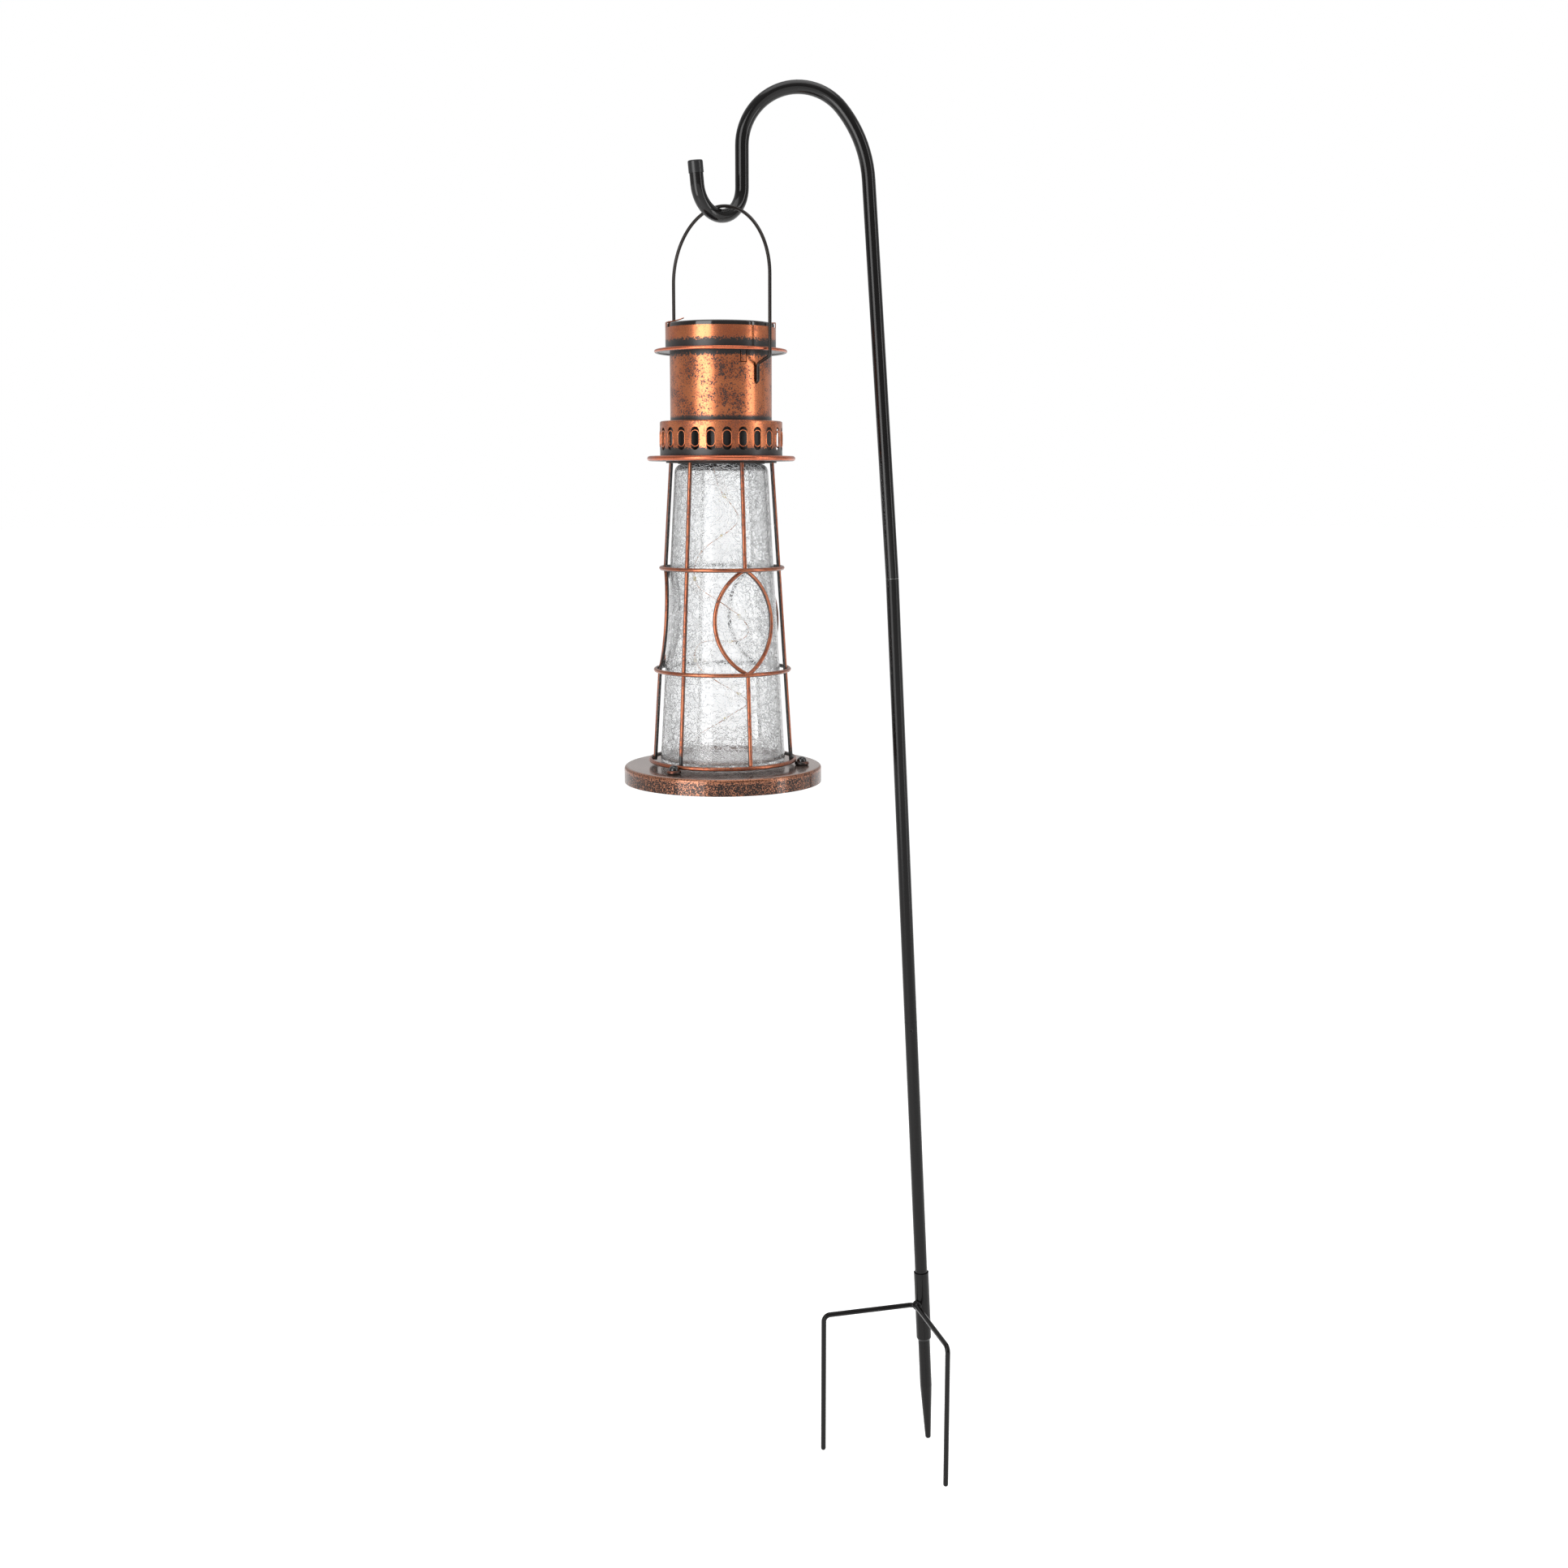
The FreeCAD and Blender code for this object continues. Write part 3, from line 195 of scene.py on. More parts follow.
class Shader:
    """The nodes of a material or a world, with short ways to add and link them."""

    def __init__(self, owner, surface="Principled BSDF"):
        owner.use_nodes = True
        self.material = owner
        self.tree = owner.node_tree
        self.surface = self.tree.nodes[surface]

    def node(self, kind, settings=None, *values, out=0, **named):
        """Add a node: its settings first, then what its inputs take, and return one output."""
        made = self.tree.nodes.new(kind)
        for field, setting in (settings or {}).items():
            setattr(made, field, setting)
        for key, value in [*enumerate(values), *named.items()]:
            socket = made.inputs[key if isinstance(key, int) else key.replace("_", " ").title()]
            self.feed(socket, value)
        return Field(self, made.outputs[out])

    def feed(self, socket, value):
        if isinstance(value, Field):
            self.tree.links.new(value.socket, socket)
        elif value is not None:
            socket.default_value = value

    def set(self, **values):
        """Set or link inputs of the surface, such as base_color or roughness."""
        for name, value in values.items():
            socket = self.surface.inputs[name.replace("_", " ").title().replace("Ior", "IOR")]
            if not isinstance(value, Field) and socket.type == "RGBA" and len(value) == 3:
                value = (*value, 1)
            self.feed(socket, value)

    def place(self):
        return self.node("ShaderNodeTexCoord", None, out="Object")

    def height(self):
        return self.node("ShaderNodeSeparateXYZ", None, self.place(), out="Z")

    def vector(self, operation, *values, out="Vector"):
        return self.node("ShaderNodeVectorMath", {"operation": operation}, *values, out=out)

    def facing_out(self, lift):
        """1 where the surface faces away from the lantern's axis or up, -1 where it faces in or down."""
        spoke = self.vector("MULTIPLY", self.vector("SUBTRACT", self.place(), tuple(AXIS)), (1, 1, 0))
        way = self.vector("NORMALIZE", self.vector("ADD", self.vector("NORMALIZE", spoke), (0, 0, lift)))
        normal = self.node("ShaderNodeTexCoord", None, out="Normal")
        return self.vector("DOT_PRODUCT", way, normal, out="Value")

    def noise(self, scale, detail, roughness):
        return self.node("ShaderNodeTexNoise", None, vector=self.place(), scale=scale, detail=detail,
                         roughness=roughness, out="Fac")

    def cell_edges(self, scale, width, place):
        """1 on the edges between random cells, 0 inside them."""
        edge = self.node("ShaderNodeTexVoronoi", {"feature": "DISTANCE_TO_EDGE"}, vector=place, scale=scale,
                         out="Distance")
        return 1 - self.ramp(edge, 0.0, width)

    def ramp(self, value, low, high):
        """0 below low, 1 above high, and smooth between."""
        return self.node("ShaderNodeMapRange", {"interpolation_type": "SMOOTHSTEP"},
                         value, low, high, 0.0, 1.0)

    def mix(self, share, first, second):
        """Blend two colours."""
        made = self.tree.nodes.new("ShaderNodeMix")
        made.data_type = "RGBA"
        for socket, value in ((made.inputs[0], share), (made.inputs[6], first), (made.inputs[7], second)):
            if not isinstance(value, Field) and socket.type == "RGBA":
                value = (*value, 1)
            self.feed(socket, value)
        return Field(self, made.outputs[2])

    def bump(self, height, strength, distance):
        return self.node("ShaderNodeBump", None, strength=strength, distance=distance, height=height,
                         out="Normal")


def new_shader(name):
    return Shader(bpy.data.materials.new(name))


def colours():
    return bpy.context.scene.light_colours


def sizes():
    return bpy.context.scene.light_sizes


# ---- finishes ----

def patina_and_shade_copper(name, bands, copper, speckle, turn=(-0.35, 0.05), lift=0.0):
    """Antique copper with black specks.

    It is painted black in each band (low, high, softness) of heights, its real patina, and as painted shade
    where it faces in or down:
    turn holds how far out a surface faces where this painted shade starts and stops.
    """
    shader = new_shader(name)
    height = shader.height()
    cloud = shader.noise(60, 3, 0.6)
    fleck = shader.noise(950, 2, 0.6)
    coarse = shader.noise(330, 3, 0.6)
    # Painted shade: the copper is painted black where it faces in towards the axis or down, by how far out
    # it faces.
    out = shader.facing_out(lift) + (fleck - 0.5) * 1.1 + (coarse - 0.5) * 0.5
    dark = 1 - shader.ramp(out, *turn)
    for low, high, softness in bands:
        edge = height + (fleck - 0.5) * (softness * 7.0) + (coarse - 0.5) * (softness * 4.0)
        inside = shader.ramp(edge, low - softness, low) * (1 - shader.ramp(edge, high, high + softness))
        dark = dark.math("MAXIMUM", inside)
    dust = fleck * 0.75 + coarse * 0.25 + (cloud - 0.5) * 0.45
    specks = shader.ramp(dust, 0.52, 0.57) * speckle
    mask = specks.math("MAXIMUM", dark).clamp()
    red = shader.ramp(cloud + (coarse - 0.5) * 0.3, 0.40, 0.66) * 0.6
    metal = shader.mix(red, tuple(copper), tuple(colours().red_copper))
    shader.set(
        base_color=shader.mix(mask, metal, tuple(colours().patina)),
        metallic=1 - mask * 0.6,
        roughness=0.24 + coarse * 0.08 + mask * 0.12,
        coat_weight=0.45, coat_roughness=0.30,
        normal=shader.bump(fleck * 0.6 + coarse * 0.4, 0.06, 0.0002),
    )
    return shader.material


def black_steel(name, roughness, reflection):
    """Satin-gloss powder coat."""
    shader = new_shader(name)
    smear = shader.noise(24, 3, 0.6)
    shader.set(base_color=shader.mix(smear, tuple(colours().black), (0.007, 0.006, 0.0055)),
               roughness=roughness + smear * 0.08, specular_ior_level=reflection)
    return shader.material


def dark_wire():
    """Gunmetal wire, a little brown where it is rubbed."""
    shader = new_shader("Gunmetal wire")
    rub = shader.noise(30, 2, 0.5)
    shader.set(base_color=shader.mix(rub, (0.010, 0.009, 0.009), (0.030, 0.023, 0.019)),
               metallic=0.5, roughness=0.22 + rub * 0.08)
    return shader.material


def bronzed_base():
    """Dark bronze: a finely mottled rim with a bright upper edge, and a glossy grey-brown top."""
    shader = new_shader("Dark bronze")
    mottle = shader.noise(1150, 2, 0.6)
    patch = shader.noise(260, 3, 0.6)
    cloud = shader.noise(24, 2, 0.5)
    height = shader.height()
    rim_top = top("base_pan")
    upper = shader.ramp(height, rim_top - 0.5 * MM, rim_top - 0.1 * MM)
    bright = shader.ramp(height + (mottle - 0.5) * (4 * MM), rim_top - 4.5 * MM, rim_top - 1.5 * MM)
    grain = shader.ramp(mottle + (patch - 0.5) * 0.2 + bright * 0.12, 0.53, 0.60)
    side = shader.mix(grain, (0.020, 0.011, 0.009), tuple(colours().bronze))
    plate = shader.mix(shader.ramp(cloud, 0.3, 0.7), (0.42, 0.31, 0.27), (0.52, 0.39, 0.34))
    shader.set(base_color=shader.mix(upper, side, plate), metallic=0.85, roughness=0.32 - upper * 0.14,
               coat_weight=0.4, coat_roughness=0.08, normal=shader.bump(mottle, 0.05, 0.0002))
    return shader.material


def gloss_black():
    shader = new_shader("Gloss black")
    smear = shader.noise(300, 2, 0.5)
    shader.set(base_color=shader.mix(smear, (0.004, 0.004, 0.004), (0.010, 0.009, 0.009)),
               roughness=0.10 + smear * 0.06, coat_weight=0.6, coat_roughness=0.05)
    return shader.material


def weld_metal():
    """Blackened, lumpy weld."""
    shader = new_shader("Blackened weld")
    lumps = shader.noise(700, 3, 0.7)
    shader.set(base_color=shader.mix(lumps, (0.010, 0.009, 0.009), (0.055, 0.035, 0.028)), metallic=0.7,
               roughness=0.38 + lumps * 0.2, normal=shader.bump(lumps, 0.4, 0.0005))
    return shader.material


def crackle_glass():
    """Clear glass with a net of healed cracks and ripples."""
    shader = new_shader("Crackle glass")
    place = shader.place()
    drift = shader.node("ShaderNodeTexNoise", None, vector=place, scale=90.0, detail=3.0, out="Color")
    bent = shader.vector("MULTIPLY_ADD", drift, (0.012, 0.012, 0.012), place)
    large = shader.cell_edges(170, 0.035, bent)
    small = shader.cell_edges(380, 0.05, bent)
    broken = shader.ramp(shader.noise(140, 2, 0.5), 0.42, 0.56)
    cracks = (large + small * broken * 0.7).clamp()
    ripple = shader.noise(30, 2, 0.5)
    shader.set(base_color=shader.mix(cracks, (0.985, 0.99, 0.995), (0.80, 0.81, 0.82)),
               roughness=cracks * 0.03, transmission_weight=1.0, ior=1.45,
               normal=shader.bump(cracks * -0.8 + ripple * 0.2, 0.40, 0.0010))
    return shader.material


def panel_resin():
    """Dark resin with the cell and its silver fingers showing through."""
    shader = new_shader("Panel resin")
    haze = shader.noise(60, 2, 0.5)
    across = shader.vector("SUBTRACT", shader.place(), tuple(AXIS))
    x, y = (shader.node("ShaderNodeSeparateXYZ", None, across, out=letter) for letter in "XY")
    half = half_width("solar_cell")
    cell = (abs(x) < half) * (abs(y) < half)
    fingers = (abs((y / (3.2 * MM)).math("FRACT") - 0.5) < 0.045) * cell
    bars = ((abs(abs(x) - half / 2) < 0.5 * MM) * cell).math("MAXIMUM", fingers)
    ground = shader.mix(cell, (0.012, 0.009, 0.008), (0.016, 0.012, 0.026))
    shader.set(base_color=shader.mix(bars * 0.5, ground, (0.10, 0.09, 0.09)),
               roughness=0.09 + haze * 0.05, coat_weight=0.5, coat_roughness=0.04, ior=1.5)
    return shader.material


def plain(name, first, second, scale, roughness, metallic=0.0):
    """Two close colours in a fine mottle."""
    shader = new_shader(name)
    mottle = shader.noise(scale, 3, 0.6)
    shader.set(base_color=shader.mix(mottle, first, second), roughness=roughness + (mottle - 0.5) * 0.12,
               metallic=metallic, normal=shader.bump(mottle, 0.05, 0.0003))
    return shader.material


def paint(material, *nodes):
    """Give CAD nodes a finish through their own material slots."""
    for node in nodes:
        for slot in NODES[node].material_slots:
            slot.material = material


def triple(name):
    return [f"{name}_{number}" for number in (1, 2, 3)]


# ---- modelling helpers ----

def select_none():
    if bpy.context.mode != "OBJECT":
        bpy.ops.object.mode_set(mode="OBJECT")
    bpy.ops.object.select_all(action="DESELECT")


def settle(piece, name, material, body):
    """Name a piece, bake its place into its mesh, finish it and let it ride on a body."""
    select_none()
    piece.select_set(True)
    bpy.context.view_layer.objects.active = piece
    bpy.ops.object.transform_apply(location=True, rotation=True, scale=True)
    piece.name = name
    piece.data.name = name
    piece.data.materials.clear()
    piece.data.materials.append(material)
    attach(piece, body)
    return piece


def copies(piece, turns):
    """Copies of a piece turned about the lantern's axis, joined with it."""
    made = [piece]
    for turn in turns:
        copy = piece.copy()
        copy.data = piece.data.copy()
        bpy.context.collection.objects.link(copy)
        swing = Matrix.Translation(AXIS) @ Matrix.Rotation(turn, 4, "Z") @ Matrix.Translation(-AXIS)
        copy.matrix_world = swing @ piece.matrix_world
        made.append(copy)
    return join(made)


def join(parts):
    select_none()
    for part in parts:
        part.select_set(True)
    bpy.context.view_layer.objects.active = parts[0]
    bpy.ops.object.join()
    return parts[0]


def smooth(piece, angle):
    select_none()
    piece.select_set(True)
    bpy.context.view_layer.objects.active = piece
    bpy.ops.object.shade_smooth_by_angle(angle=math.radians(angle))


# ---- light string ----

# middle line in millimetres from the lantern's axis and foot, from the grommet down
STRING_ROUTE = [
    (-7, -8, 289), (-7, -8, 262), (-6.5, -9, 240), (-2, -13, 220), (8, -12, 208), (14, -3, 198),
    (8, 7, 190), (-5, 10, 182), (-16, 4, 174), (-21, -8, 162), (-19, -15, 149), (-9, -19, 142),
    (4, -18, 134), (15, -13, 125), (21, -1, 115), (17, 12, 107), (5, 19, 104), (-8, 18, 106),
    (-19, 9, 104), (-22, -3, 95), (-16, -14, 86), (-4, -19, 78), (10, -17, 70), (19, -7, 63),
    (18, 6, 56), (8, 14, 50), (-5, 15, 41), (-17, 9, 36), (-21, -3, 32),
]


def string_points():
    return [AXIS + Vector((x, y, z)) * MM + Vector((0, 0, FOOT)) for x, y, z in STRING_ROUTE]


def route_curve(name, points, radius):
    """Smooth curve with the route's points as its control points."""
    data = bpy.data.curves.new(name, "CURVE")
    data.dimensions = "3D"
    data.resolution_u = 12
    data.bevel_depth = radius
    data.bevel_resolution = 3
    data.use_fill_caps = True
    spline = data.splines.new("NURBS")
    spline.points.add(len(points) - 1)
    for place, point in zip(points, spline.points):
        point.co = (*place, 1)
    spline.order_u = 3
    spline.use_endpoint_u = True
    curve = bpy.data.objects.new(name, data)
    bpy.context.collection.objects.link(curve)
    return curve


def line_of(points):
    """Points read along the smooth curve of a route."""
    curve = route_curve("string_line", points, 0)
    mesh = bpy.data.meshes.new_from_object(curve)
    line = [vertex.co.copy() for vertex in mesh.vertices]
    bpy.data.objects.remove(curve)
    bpy.data.meshes.remove(mesh)
    return line


def spot_on(line, distance):
    """Point and heading at a distance along a line, or None past its end."""
    for start, end in zip(line, line[1:]):
        run = (end - start).length
        if distance <= run:
            return start.lerp(end, distance / run), (end - start).normalized()
        distance -= run
    return None


def bead_material():
    shader = new_shader("Bead resin")
    haze = shader.noise(700, 2, 0.5)
    shader.set(base_color=shader.mix(haze, tuple(colours().resin), (0.95, 0.86, 0.55)),
               roughness=0.12 + haze * 0.1, coat_weight=0.5, coat_roughness=0.05,
               transmission_weight=0.25, ior=1.5)
    return shader.material


class GARDENLIGHT_OT_light_string(Operator):
    """Hang the light string in the jar, with its resin beads"""
    bl_idname = "gardenlight.light_string"
    bl_label = "Light string"

    def execute(self, context):
        points = string_points()
        line = line_of(points)
        beads = self.beads(line)
        string = route_curve("light_string_wire", points, sizes().string_wire / 2)
        wire = plain("Lacquered copper wire", (0.30, 0.12, 0.05), (0.50, 0.22, 0.09), 400, 0.32, 0.8)
        string.data.materials.append(wire)
        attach(string, "lid")
        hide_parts("light_string")
        return {"FINISHED"}

    def beads(self, line):
        parts = []
        while spot := spot_on(line, sizes().first_bead + len(parts) * sizes().bead_spacing):
            place, heading = spot
            select_none()
            bpy.ops.mesh.primitive_uv_sphere_add(segments=20, ring_count=12, radius=0.5, location=place,
                                                 rotation=heading.to_track_quat("Z", "Y").to_euler())
            bead = bpy.context.active_object
            bead.scale = (sizes().bead_width, sizes().bead_width, sizes().bead_length)
            parts.append(bead)
        beads = join(parts)
        settle(beads, "led_resin_beads", bead_material(), "lid")
        smooth(beads, 60)
        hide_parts("led_beads")
        return beads


# ---- metalwork ----

class GARDENLIGHT_OT_steelwork(Operator):
    """Finish the stake, the pole, the hook and the bail"""
    bl_idname = "gardenlight.steelwork"
    bl_label = "Stake, pole and bail"

    def execute(self, context):
        paint(black_steel("Black powder coat", 0.16, 0.22), "spike", "spike_collar", "fork_sleeve",
              "prong_fork", "fork_weld", "lower_pole", "middle_pole")
        paint(black_steel("Glossy black powder coat", 0.10, 0.36), "hook_tube")
        paint(plain("Zinc plate", (0.45, 0.45, 0.44), (0.58, 0.57, 0.55), 300, 0.35, 1.0), "lower_spigot",
              "upper_spigot", "screw_nuts", "door_screw", "battery_contacts")
        paint(plain("Black end cap", (0.004, 0.004, 0.0045), (0.008, 0.008, 0.009), 500, 0.3),
              "hook_tip_cap")
        paint(dark_wire(), "bail")
        return {"FINISHED"}


class GARDENLIGHT_OT_copperwork(Operator):
    """Finish the head, the gallery, the lid and the two flanges"""
    bl_idname = "gardenlight.copperwork"
    bl_label = "Copper head"

    def execute(self, context):
        copper, red = tuple(colours().copper), (0.62, 0.16, 0.07)
        # Each copper part here is also painted black as painted shade where it faces in towards the axis.
        head = [(bottom("head_cylinder") - 5 * MM, top("gallery_band") + 2.4 * MM, 1.2 * MM),
                (bottom("upper_flange") - 2.6 * MM, top("head_cylinder") + 5 * MM, 1.4 * MM)]
        paint(patina_and_shade_copper("Copper of the head", head, copper, 0.95), "head_cylinder")
        gallery = [(bottom("gallery_band") - 5 * MM, bottom("gallery_band") + 6.5 * MM, 1.0 * MM)]
        paint(patina_and_shade_copper("Copper of the gallery", gallery, copper, 0.6), "gallery_band")
        skirt = [(bottom("lid_skirt") - 5 * MM, bottom("lid_skirt") + 5.5 * MM, 1.3 * MM)]
        paint(patina_and_shade_copper("Copper of the lid", skirt, copper, 0.4), "lid_skirt", "rim_tabs")
        # The flanges' undersides are painted black as painted shade.
        paint(patina_and_shade_copper("Copper of the flanges", [], red, 0.25, (-0.5, 0.1), 1.2),
              "upper_flange", "gallery_deck")
        return {"FINISHED"}


class GARDENLIGHT_OT_slot_rims(Operator):
    """Raise a fine edge in each vent slot of the gallery, a little shorter than the slot"""
    bl_idname = "gardenlight.slot_rims"
    bl_label = "Vent slot rims"

    slot_count: IntProperty(name="Slots", description="Number of vent slots", default=24)
    slot_width: FloatProperty(name="Width", description="Width of a slot", default=6.5 * MM, unit="LENGTH")
    slot_height: FloatProperty(name="Height", description="Height of a slot", default=16.5 * MM,
                               unit="LENGTH")
    slot_middle: FloatProperty(name="Middle", description="Height of a slot's middle over the foot",
                               default=256 * MM, unit="LENGTH")
    first_slot: FloatProperty(name="First slot", description="Direction of one slot from the front",
                              default=math.radians(7.3), subtype="ANGLE")
    sink: FloatProperty(name="Sink", description="How far the rim is let into the band",
                        default=0.12 * MM, unit="LENGTH", precision=5)

    def execute(self, context):
        centre = around(self.first_slot, half_width("gallery_band") - self.sink, FOOT + self.slot_middle)
        select_none()
        bpy.ops.mesh.primitive_circle_add(vertices=28, radius=self.slot_width / 2, location=centre,
                                          rotation=(math.radians(90), 0, self.first_slot))
        rim = bpy.context.active_object
        self.stretch(rim, self.slot_height - self.slot_width)
        bpy.ops.object.convert(target="CURVE")
        rim = bpy.context.active_object
        rim.data.bevel_depth = sizes().rim_wire
        rim.data.bevel_resolution = 2
        bpy.ops.object.convert(target="MESH")
        rim = bpy.context.active_object
        step = math.tau / self.slot_count
        rims = copies(rim, [step * number for number in range(1, self.slot_count)])
        black_part = [(FOOT + 240 * MM, FOOT + 248 * MM, 1.0 * MM)]
        copper = patina_and_shade_copper("Copper of the slot rims", black_part, tuple(colours().copper), 0.3)
        settle(rims, "vent_slot_rims", copper, "lantern")
        smooth(rims, 60)
        return {"FINISHED"}

    def stretch(self, rim, length):
        """Pull the upper and lower halves of a circle apart by half of the length."""
        for side in (1, -1):
            for vertex in rim.data.vertices:
                vertex.select = vertex.co.y * side > -1e-7
            for edge in rim.data.edges:
                edge.select = all(rim.data.vertices[i].select for i in edge.vertices)
            bpy.ops.object.mode_set(mode="EDIT")
            bpy.ops.transform.translate(value=(0, 0, side * length / 4))
            bpy.ops.object.mode_set(mode="OBJECT")


class GARDENLIGHT_OT_rim_leaf(Operator):
    """Bend a pointed copper leaf up out of the lid's rim"""
    bl_idname = "gardenlight.rim_leaf"
    bl_label = "Rim leaf"

    turn: FloatProperty(name="Place", description="Direction of the leaf from the front", subtype="ANGLE",
                        default=math.radians(-78))
    length: FloatProperty(name="Length", description="Length of the leaf", default=12 * MM, unit="LENGTH")
    width: FloatProperty(name="Width", description="Width at its root", default=6 * MM, unit="LENGTH")
    rise: FloatProperty(name="Rise", description="Height of its tip over its root", default=3.2 * MM,
                        unit="LENGTH")

    def execute(self, context):
        select_none()
        bpy.ops.mesh.primitive_grid_add(x_subdivisions=8, y_subdivisions=14, size=1)
        leaf = bpy.context.active_object
        for vertex in leaf.data.vertices:
            across, along = vertex.co.x, vertex.co.y + 0.5
            cup = across * across * 1.6
            vertex.co = (across * self.width * (1 - along ** 2.2 * 0.92), along * self.length,
                         self.rise * along ** 1.6 + cup * MM)
        thickness = leaf.modifiers.new("Thickness", "SOLIDIFY")
        thickness.thickness = 0.45 * MM
        bpy.ops.object.modifier_apply(modifier=thickness.name)
        leaf.rotation_euler = (0, 0, self.turn)
        leaf.location = around(self.turn, half_width("lid_skirt") - 1.2 * MM, top("rim_tabs"))
        never_black = (-2.0, -1.9)
        copper = patina_and_shade_copper("Copper of the leaf", [], tuple(colours().copper), 0.4, never_black)
        settle(leaf, "rim_leaf", copper, "lid")
        smooth(leaf, 50)
        return {"FINISHED"}


class GARDENLIGHT_OT_cage(Operator):
    """Finish the wire cage, its screws and its welds"""
    bl_idname = "gardenlight.cage"
    bl_label = "Wire cage"

    def execute(self, context):
        wires = ["cage_bottom_ring", "cage_lower_ring", "cage_upper_ring", *triple("lower_stub"),
                 *triple("upper_stub"), *triple("window_loop")]
        # turn and lift paint each wire black on its inner and lower side as painted shade; the side facing
        # out and up stays copper.
        brown, turn, lift = (0.42, 0.135, 0.062), (0.05, 0.65), 0.7
        foot = [(FOOT, bottom("cage_bottom_ring") + 9 * MM, 2.5 * MM)]
        paint(patina_and_shade_copper("Copper of the cage", [], brown, 0.7, turn, lift), *wires)
        paint(patina_and_shade_copper("Copper of the uprights", foot, brown, 0.7, turn, lift), *triple("long_upright"))
        # The eyelets are dark brown copper, their own colour, with black painted shade wherever they do not
        # face well out and up.
        dark_brown, darker_turn = (0.20, 0.06, 0.03), (0.3, 1.1)
        paint(patina_and_shade_copper("Copper of the eyelets", [], dark_brown, 0.9, darker_turn, lift),
              *triple("eyelet"))
        paint(gloss_black(), "dome_screws")
        paint(weld_metal(), "cage_top_plate")
        self.welds()
        return {"FINISHED"}

    def welds(self):
        cage_wire = 3.0 * MM
        uprights = {"cage_bottom_ring": triple("long_upright") + triple("lower_stub"),
                    "cage_lower_ring": triple("long_upright") + triple("lower_stub"),
                    "cage_upper_ring": triple("long_upright") + triple("upper_stub")}
        parts = []
        for ring, crossing in uprights.items():
            share = 1.0 if ring == "cage_bottom_ring" else 0.7
            for upright in crossing:
                spot = around(azimuth(upright), half_width(ring) - cage_wire, middle(ring).z)
                select_none()
                bpy.ops.mesh.primitive_ico_sphere_add(subdivisions=3, radius=sizes().weld_radius * share,
                                                      location=spot)
                bead = bpy.context.active_object
                bpy.ops.object.mode_set(mode="EDIT")
                bpy.ops.transform.vertex_random(offset=0.12 * MM, uniform=0.3, normal=0.6, seed=len(parts))
                bpy.ops.object.mode_set(mode="OBJECT")
                bead.scale = (1.1, 1.1, 0.85)
                parts.append(bead)
        welds = settle(join(parts), "cage_weld_beads", weld_metal(), "lantern")
        smooth(welds, 60)


class GARDENLIGHT_OT_base(Operator):
    """Finish the base pan"""
    bl_idname = "gardenlight.base"
    bl_label = "Base"

    def execute(self, context):
        paint(bronzed_base(), "base_pan")
        return {"FINISHED"}


class GARDENLIGHT_OT_glass(Operator):
    """Finish the glass jar and its gasket"""
    bl_idname = "gardenlight.glass"
    bl_label = "Glass jar"

    def execute(self, context):
        paint(crackle_glass(), "glass_jar")
        paint(plain("Black rubber", (0.012, 0.012, 0.012), (0.022, 0.021, 0.021), 600, 0.6), "glass_gasket",
              "string_grommet")
        return {"FINISHED"}


class GARDENLIGHT_OT_lid(Operator):
    """Finish the solar panel and the electronics under it"""
    bl_idname = "gardenlight.lid"
    bl_label = "Solar lid"

    def execute(self, context):
        paint(panel_resin(), "solar_window")
        paint(plain("Silicon cell", (0.012, 0.010, 0.030), (0.030, 0.018, 0.040), 90, 0.3, 0.2),
              "solar_cell")
        paint(plain("Housing plastic", (0.012, 0.012, 0.013), (0.022, 0.022, 0.022), 800, 0.5),
              "cell_housing", "housing_floor", "battery_door", "switch_body", "switch_knob")
        paint(plain("Solder mask", (0.010, 0.09, 0.035), (0.016, 0.13, 0.05), 400, 0.35), "circuit_board")
        paint(plain("Battery sleeve", (0.03, 0.16, 0.08), (0.04, 0.2, 0.1), 200, 0.28), "battery")
        return {"FINISHED"}


# ---- studio ----

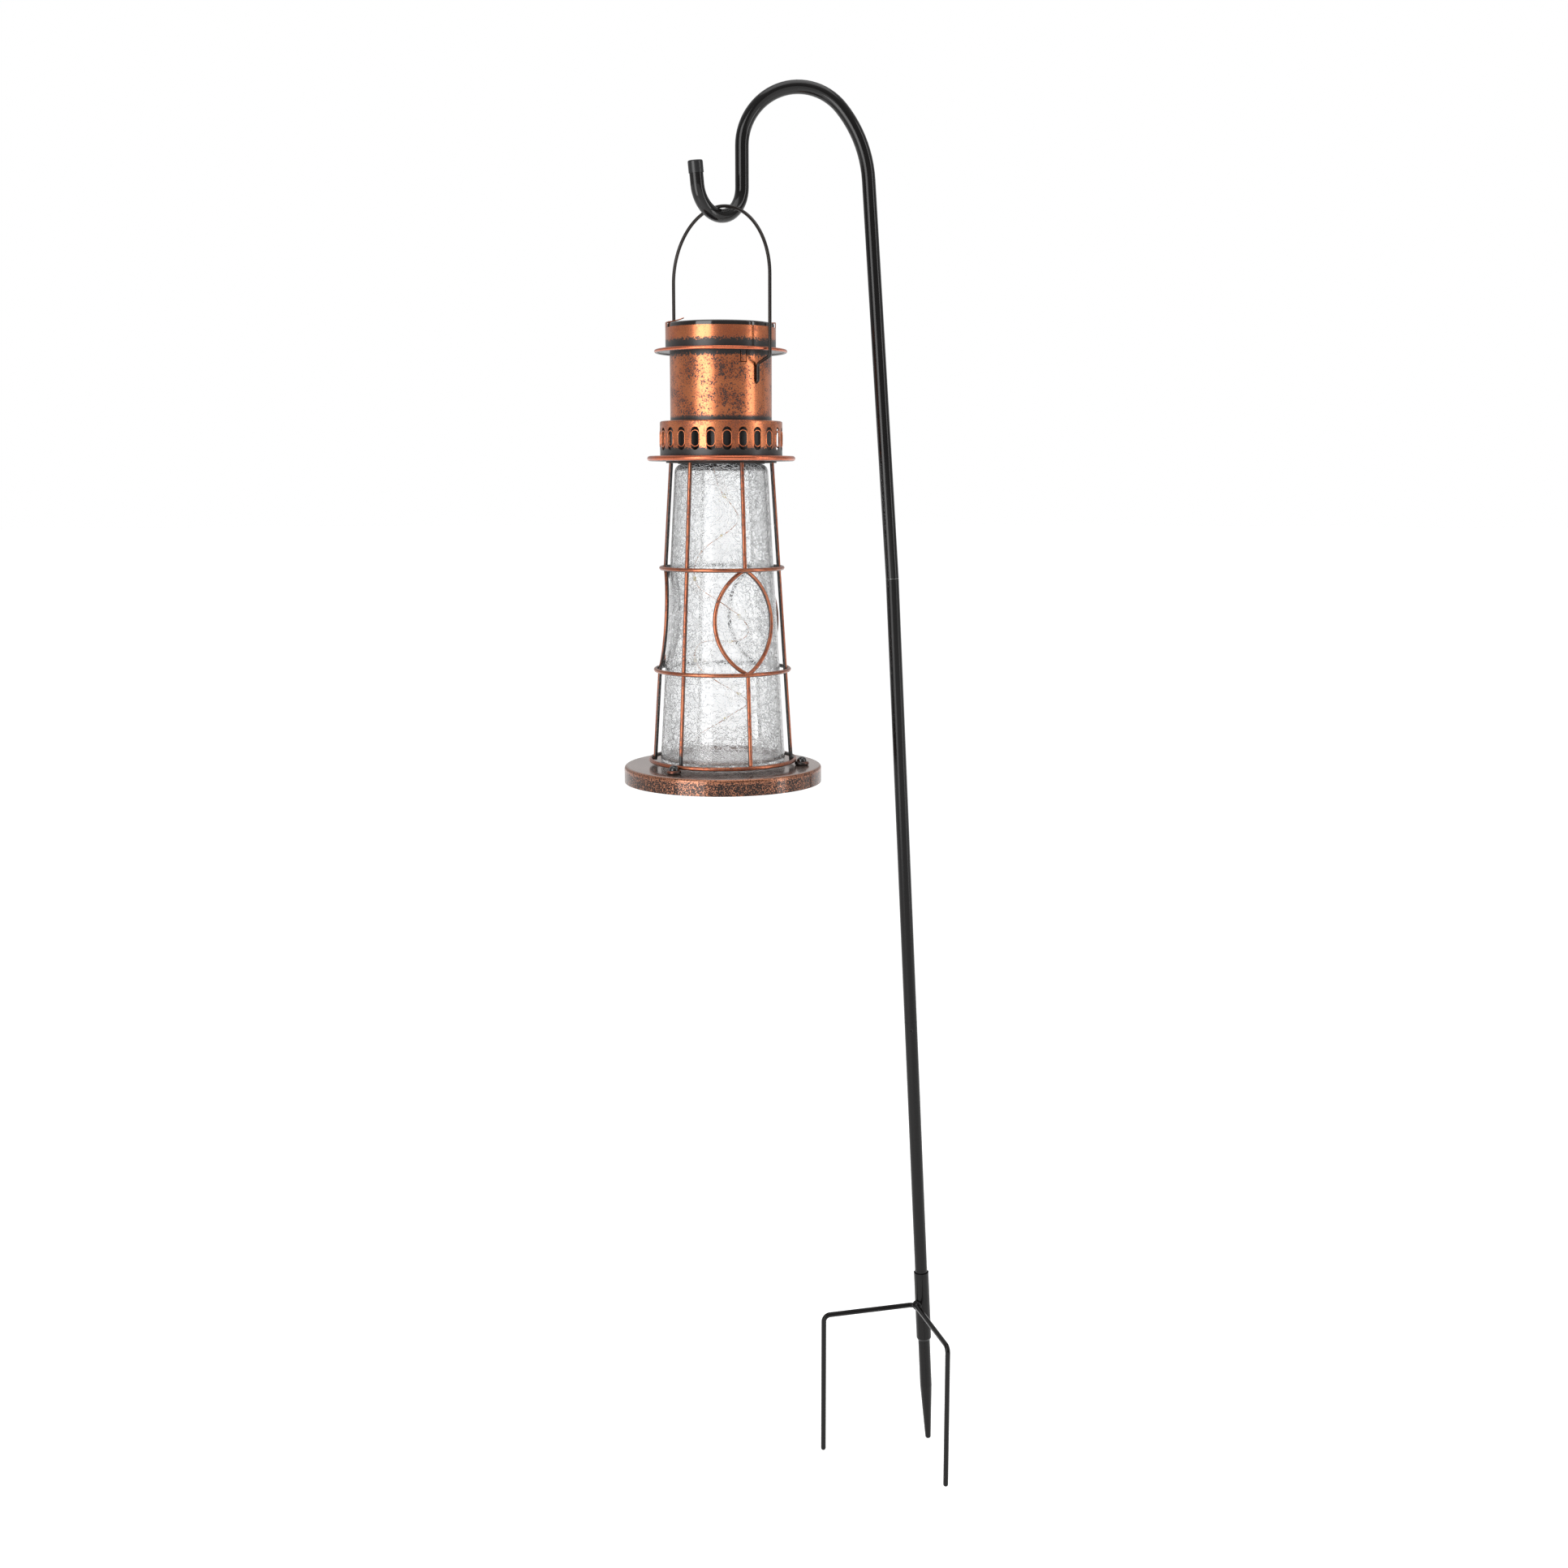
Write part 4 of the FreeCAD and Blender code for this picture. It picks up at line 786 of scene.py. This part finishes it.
class GARDENLIGHT_OT_stage(Operator):
    """Set up the floor, the lights, the surroundings and the camera"""
    bl_idname = "gardenlight.stage"
    bl_label = "Studio"

    def execute(self, context):
        self.camera(context)
        self.floor()
        self.surroundings(context)
        self.lights()
        return {"FINISHED"}

    def camera(self, context):
        studio = context.scene.studio_sizes
        select_none()
        bpy.ops.object.camera_add(location=(-0.1126, -1.393, 0.6631),
                                  rotation=(math.radians(90) - studio.camera_pitch, 0, 0))
        camera = context.active_object
        camera.data.lens = studio.lens
        camera.data.sensor_width = 36
        context.scene.camera = camera

    def floor(self):
        select_none()
        bpy.ops.mesh.primitive_circle_add(vertices=96, radius=30.0, fill_type="NGON",
                                          location=(0, 0, CAD_BOX[0][2] - 2 * MM))
        floor = bpy.context.active_object
        floor.name = "floor"
        floor.data.materials.append(self.pale())

    def pale(self):
        """Pale matt sweep that glows a little, so that it stays as bright as the wall behind."""
        shader = new_shader("Pale floor")
        shader.set(base_color=(0.85, 0.85, 0.85), roughness=0.8, specular_ior_level=0.1,
                   emission_color=(1, 1, 1, 1), emission_strength=0.62)
        return shader.material

    def surroundings(self, context):
        """White seen straight or through glass; dimmer for reflections, most of all on the near side."""
        world = bpy.data.worlds.new("Studio")
        context.scene.world = world
        shader = Shader(world, "Background")
        way = shader.node("ShaderNodeTexCoord", None, out="Generated")
        depth, height = (shader.node("ShaderNodeSeparateXYZ", None, way, out=letter) for letter in "YZ")
        around_it = 0.22 + shader.ramp(depth, -0.3, 0.5) * 0.30 + shader.ramp(height, 0.2, 0.9) * 0.25
        camera, through = (shader.node("ShaderNodeLightPath", None, out=kind)
                           for kind in ("Is Camera Ray", "Is Transmission Ray"))
        shader.set(color=(1, 1, 1),
                   strength=around_it.math("MAXIMUM", camera).math("MAXIMUM", through * 0.95))
        context.scene.view_settings.view_transform = "Standard"

    def lights(self):
        aim = AXIS + Vector((0, 0, 0.62))
        studio = bpy.context.scene.studio_sizes
        for name, place, width, height, power in (
            ("key", (-0.87, -1.05, 0.75), 0.75, 1.40, studio.key_power),
            ("side", (0.98, -0.40, 0.85), 0.26, 1.60, studio.side_power),
            ("top", (-0.1, -0.2, 1.9), 1.20, 0.90, studio.top_power),
        ):
            select_none()
            bpy.ops.object.light_add(type="AREA", location=place)
            light = bpy.context.active_object
            light.name = name + "_light"
            light.rotation_euler = (aim - Vector(place)).to_track_quat("-Z", "Y").to_euler()
            light.data.shape = "RECTANGLE"
            light.data.size = width
            light.data.size_y = height
            light.data.energy = power


PIECES = (GARDENLIGHT_OT_light_string, GARDENLIGHT_OT_steelwork, GARDENLIGHT_OT_copperwork,
          GARDENLIGHT_OT_slot_rims, GARDENLIGHT_OT_rim_leaf, GARDENLIGHT_OT_cage, GARDENLIGHT_OT_base,
          GARDENLIGHT_OT_glass, GARDENLIGHT_OT_lid)


class GARDENLIGHT_PT_panel(Panel):
    """Lists the steps that finish the light"""
    bl_label = "Garden Light"
    bl_idname = "GARDENLIGHT_PT_panel"
    bl_space_type = "VIEW_3D"
    bl_region_type = "UI"
    bl_category = "Garden Light"

    def draw(self, context):
        for operator in (GARDENLIGHT_OT_stage, *PIECES):
            self.layout.operator(operator.bl_idname)


GROUPS = {"light_sizes": LightSizes, "light_colours": LightColours, "studio_sizes": StudioSizes}
CLASSES = (*GROUPS.values(), GARDENLIGHT_OT_stage, *PIECES, GARDENLIGHT_PT_panel)


def register():
    for cls in CLASSES:
        bpy.utils.register_class(cls)
    for name, group in GROUPS.items():
        setattr(bpy.types.Scene, name, PointerProperty(type=group))


def unregister():
    for name in GROUPS:
        delattr(bpy.types.Scene, name)
    for cls in reversed(CLASSES):
        bpy.utils.unregister_class(cls)


def main():
    register()
    for step in (GARDENLIGHT_OT_stage, *PIECES):
        group, name = step.bl_idname.split(".")
        getattr(getattr(bpy.ops, group), name)()


if __name__ == "__main__":
    main()
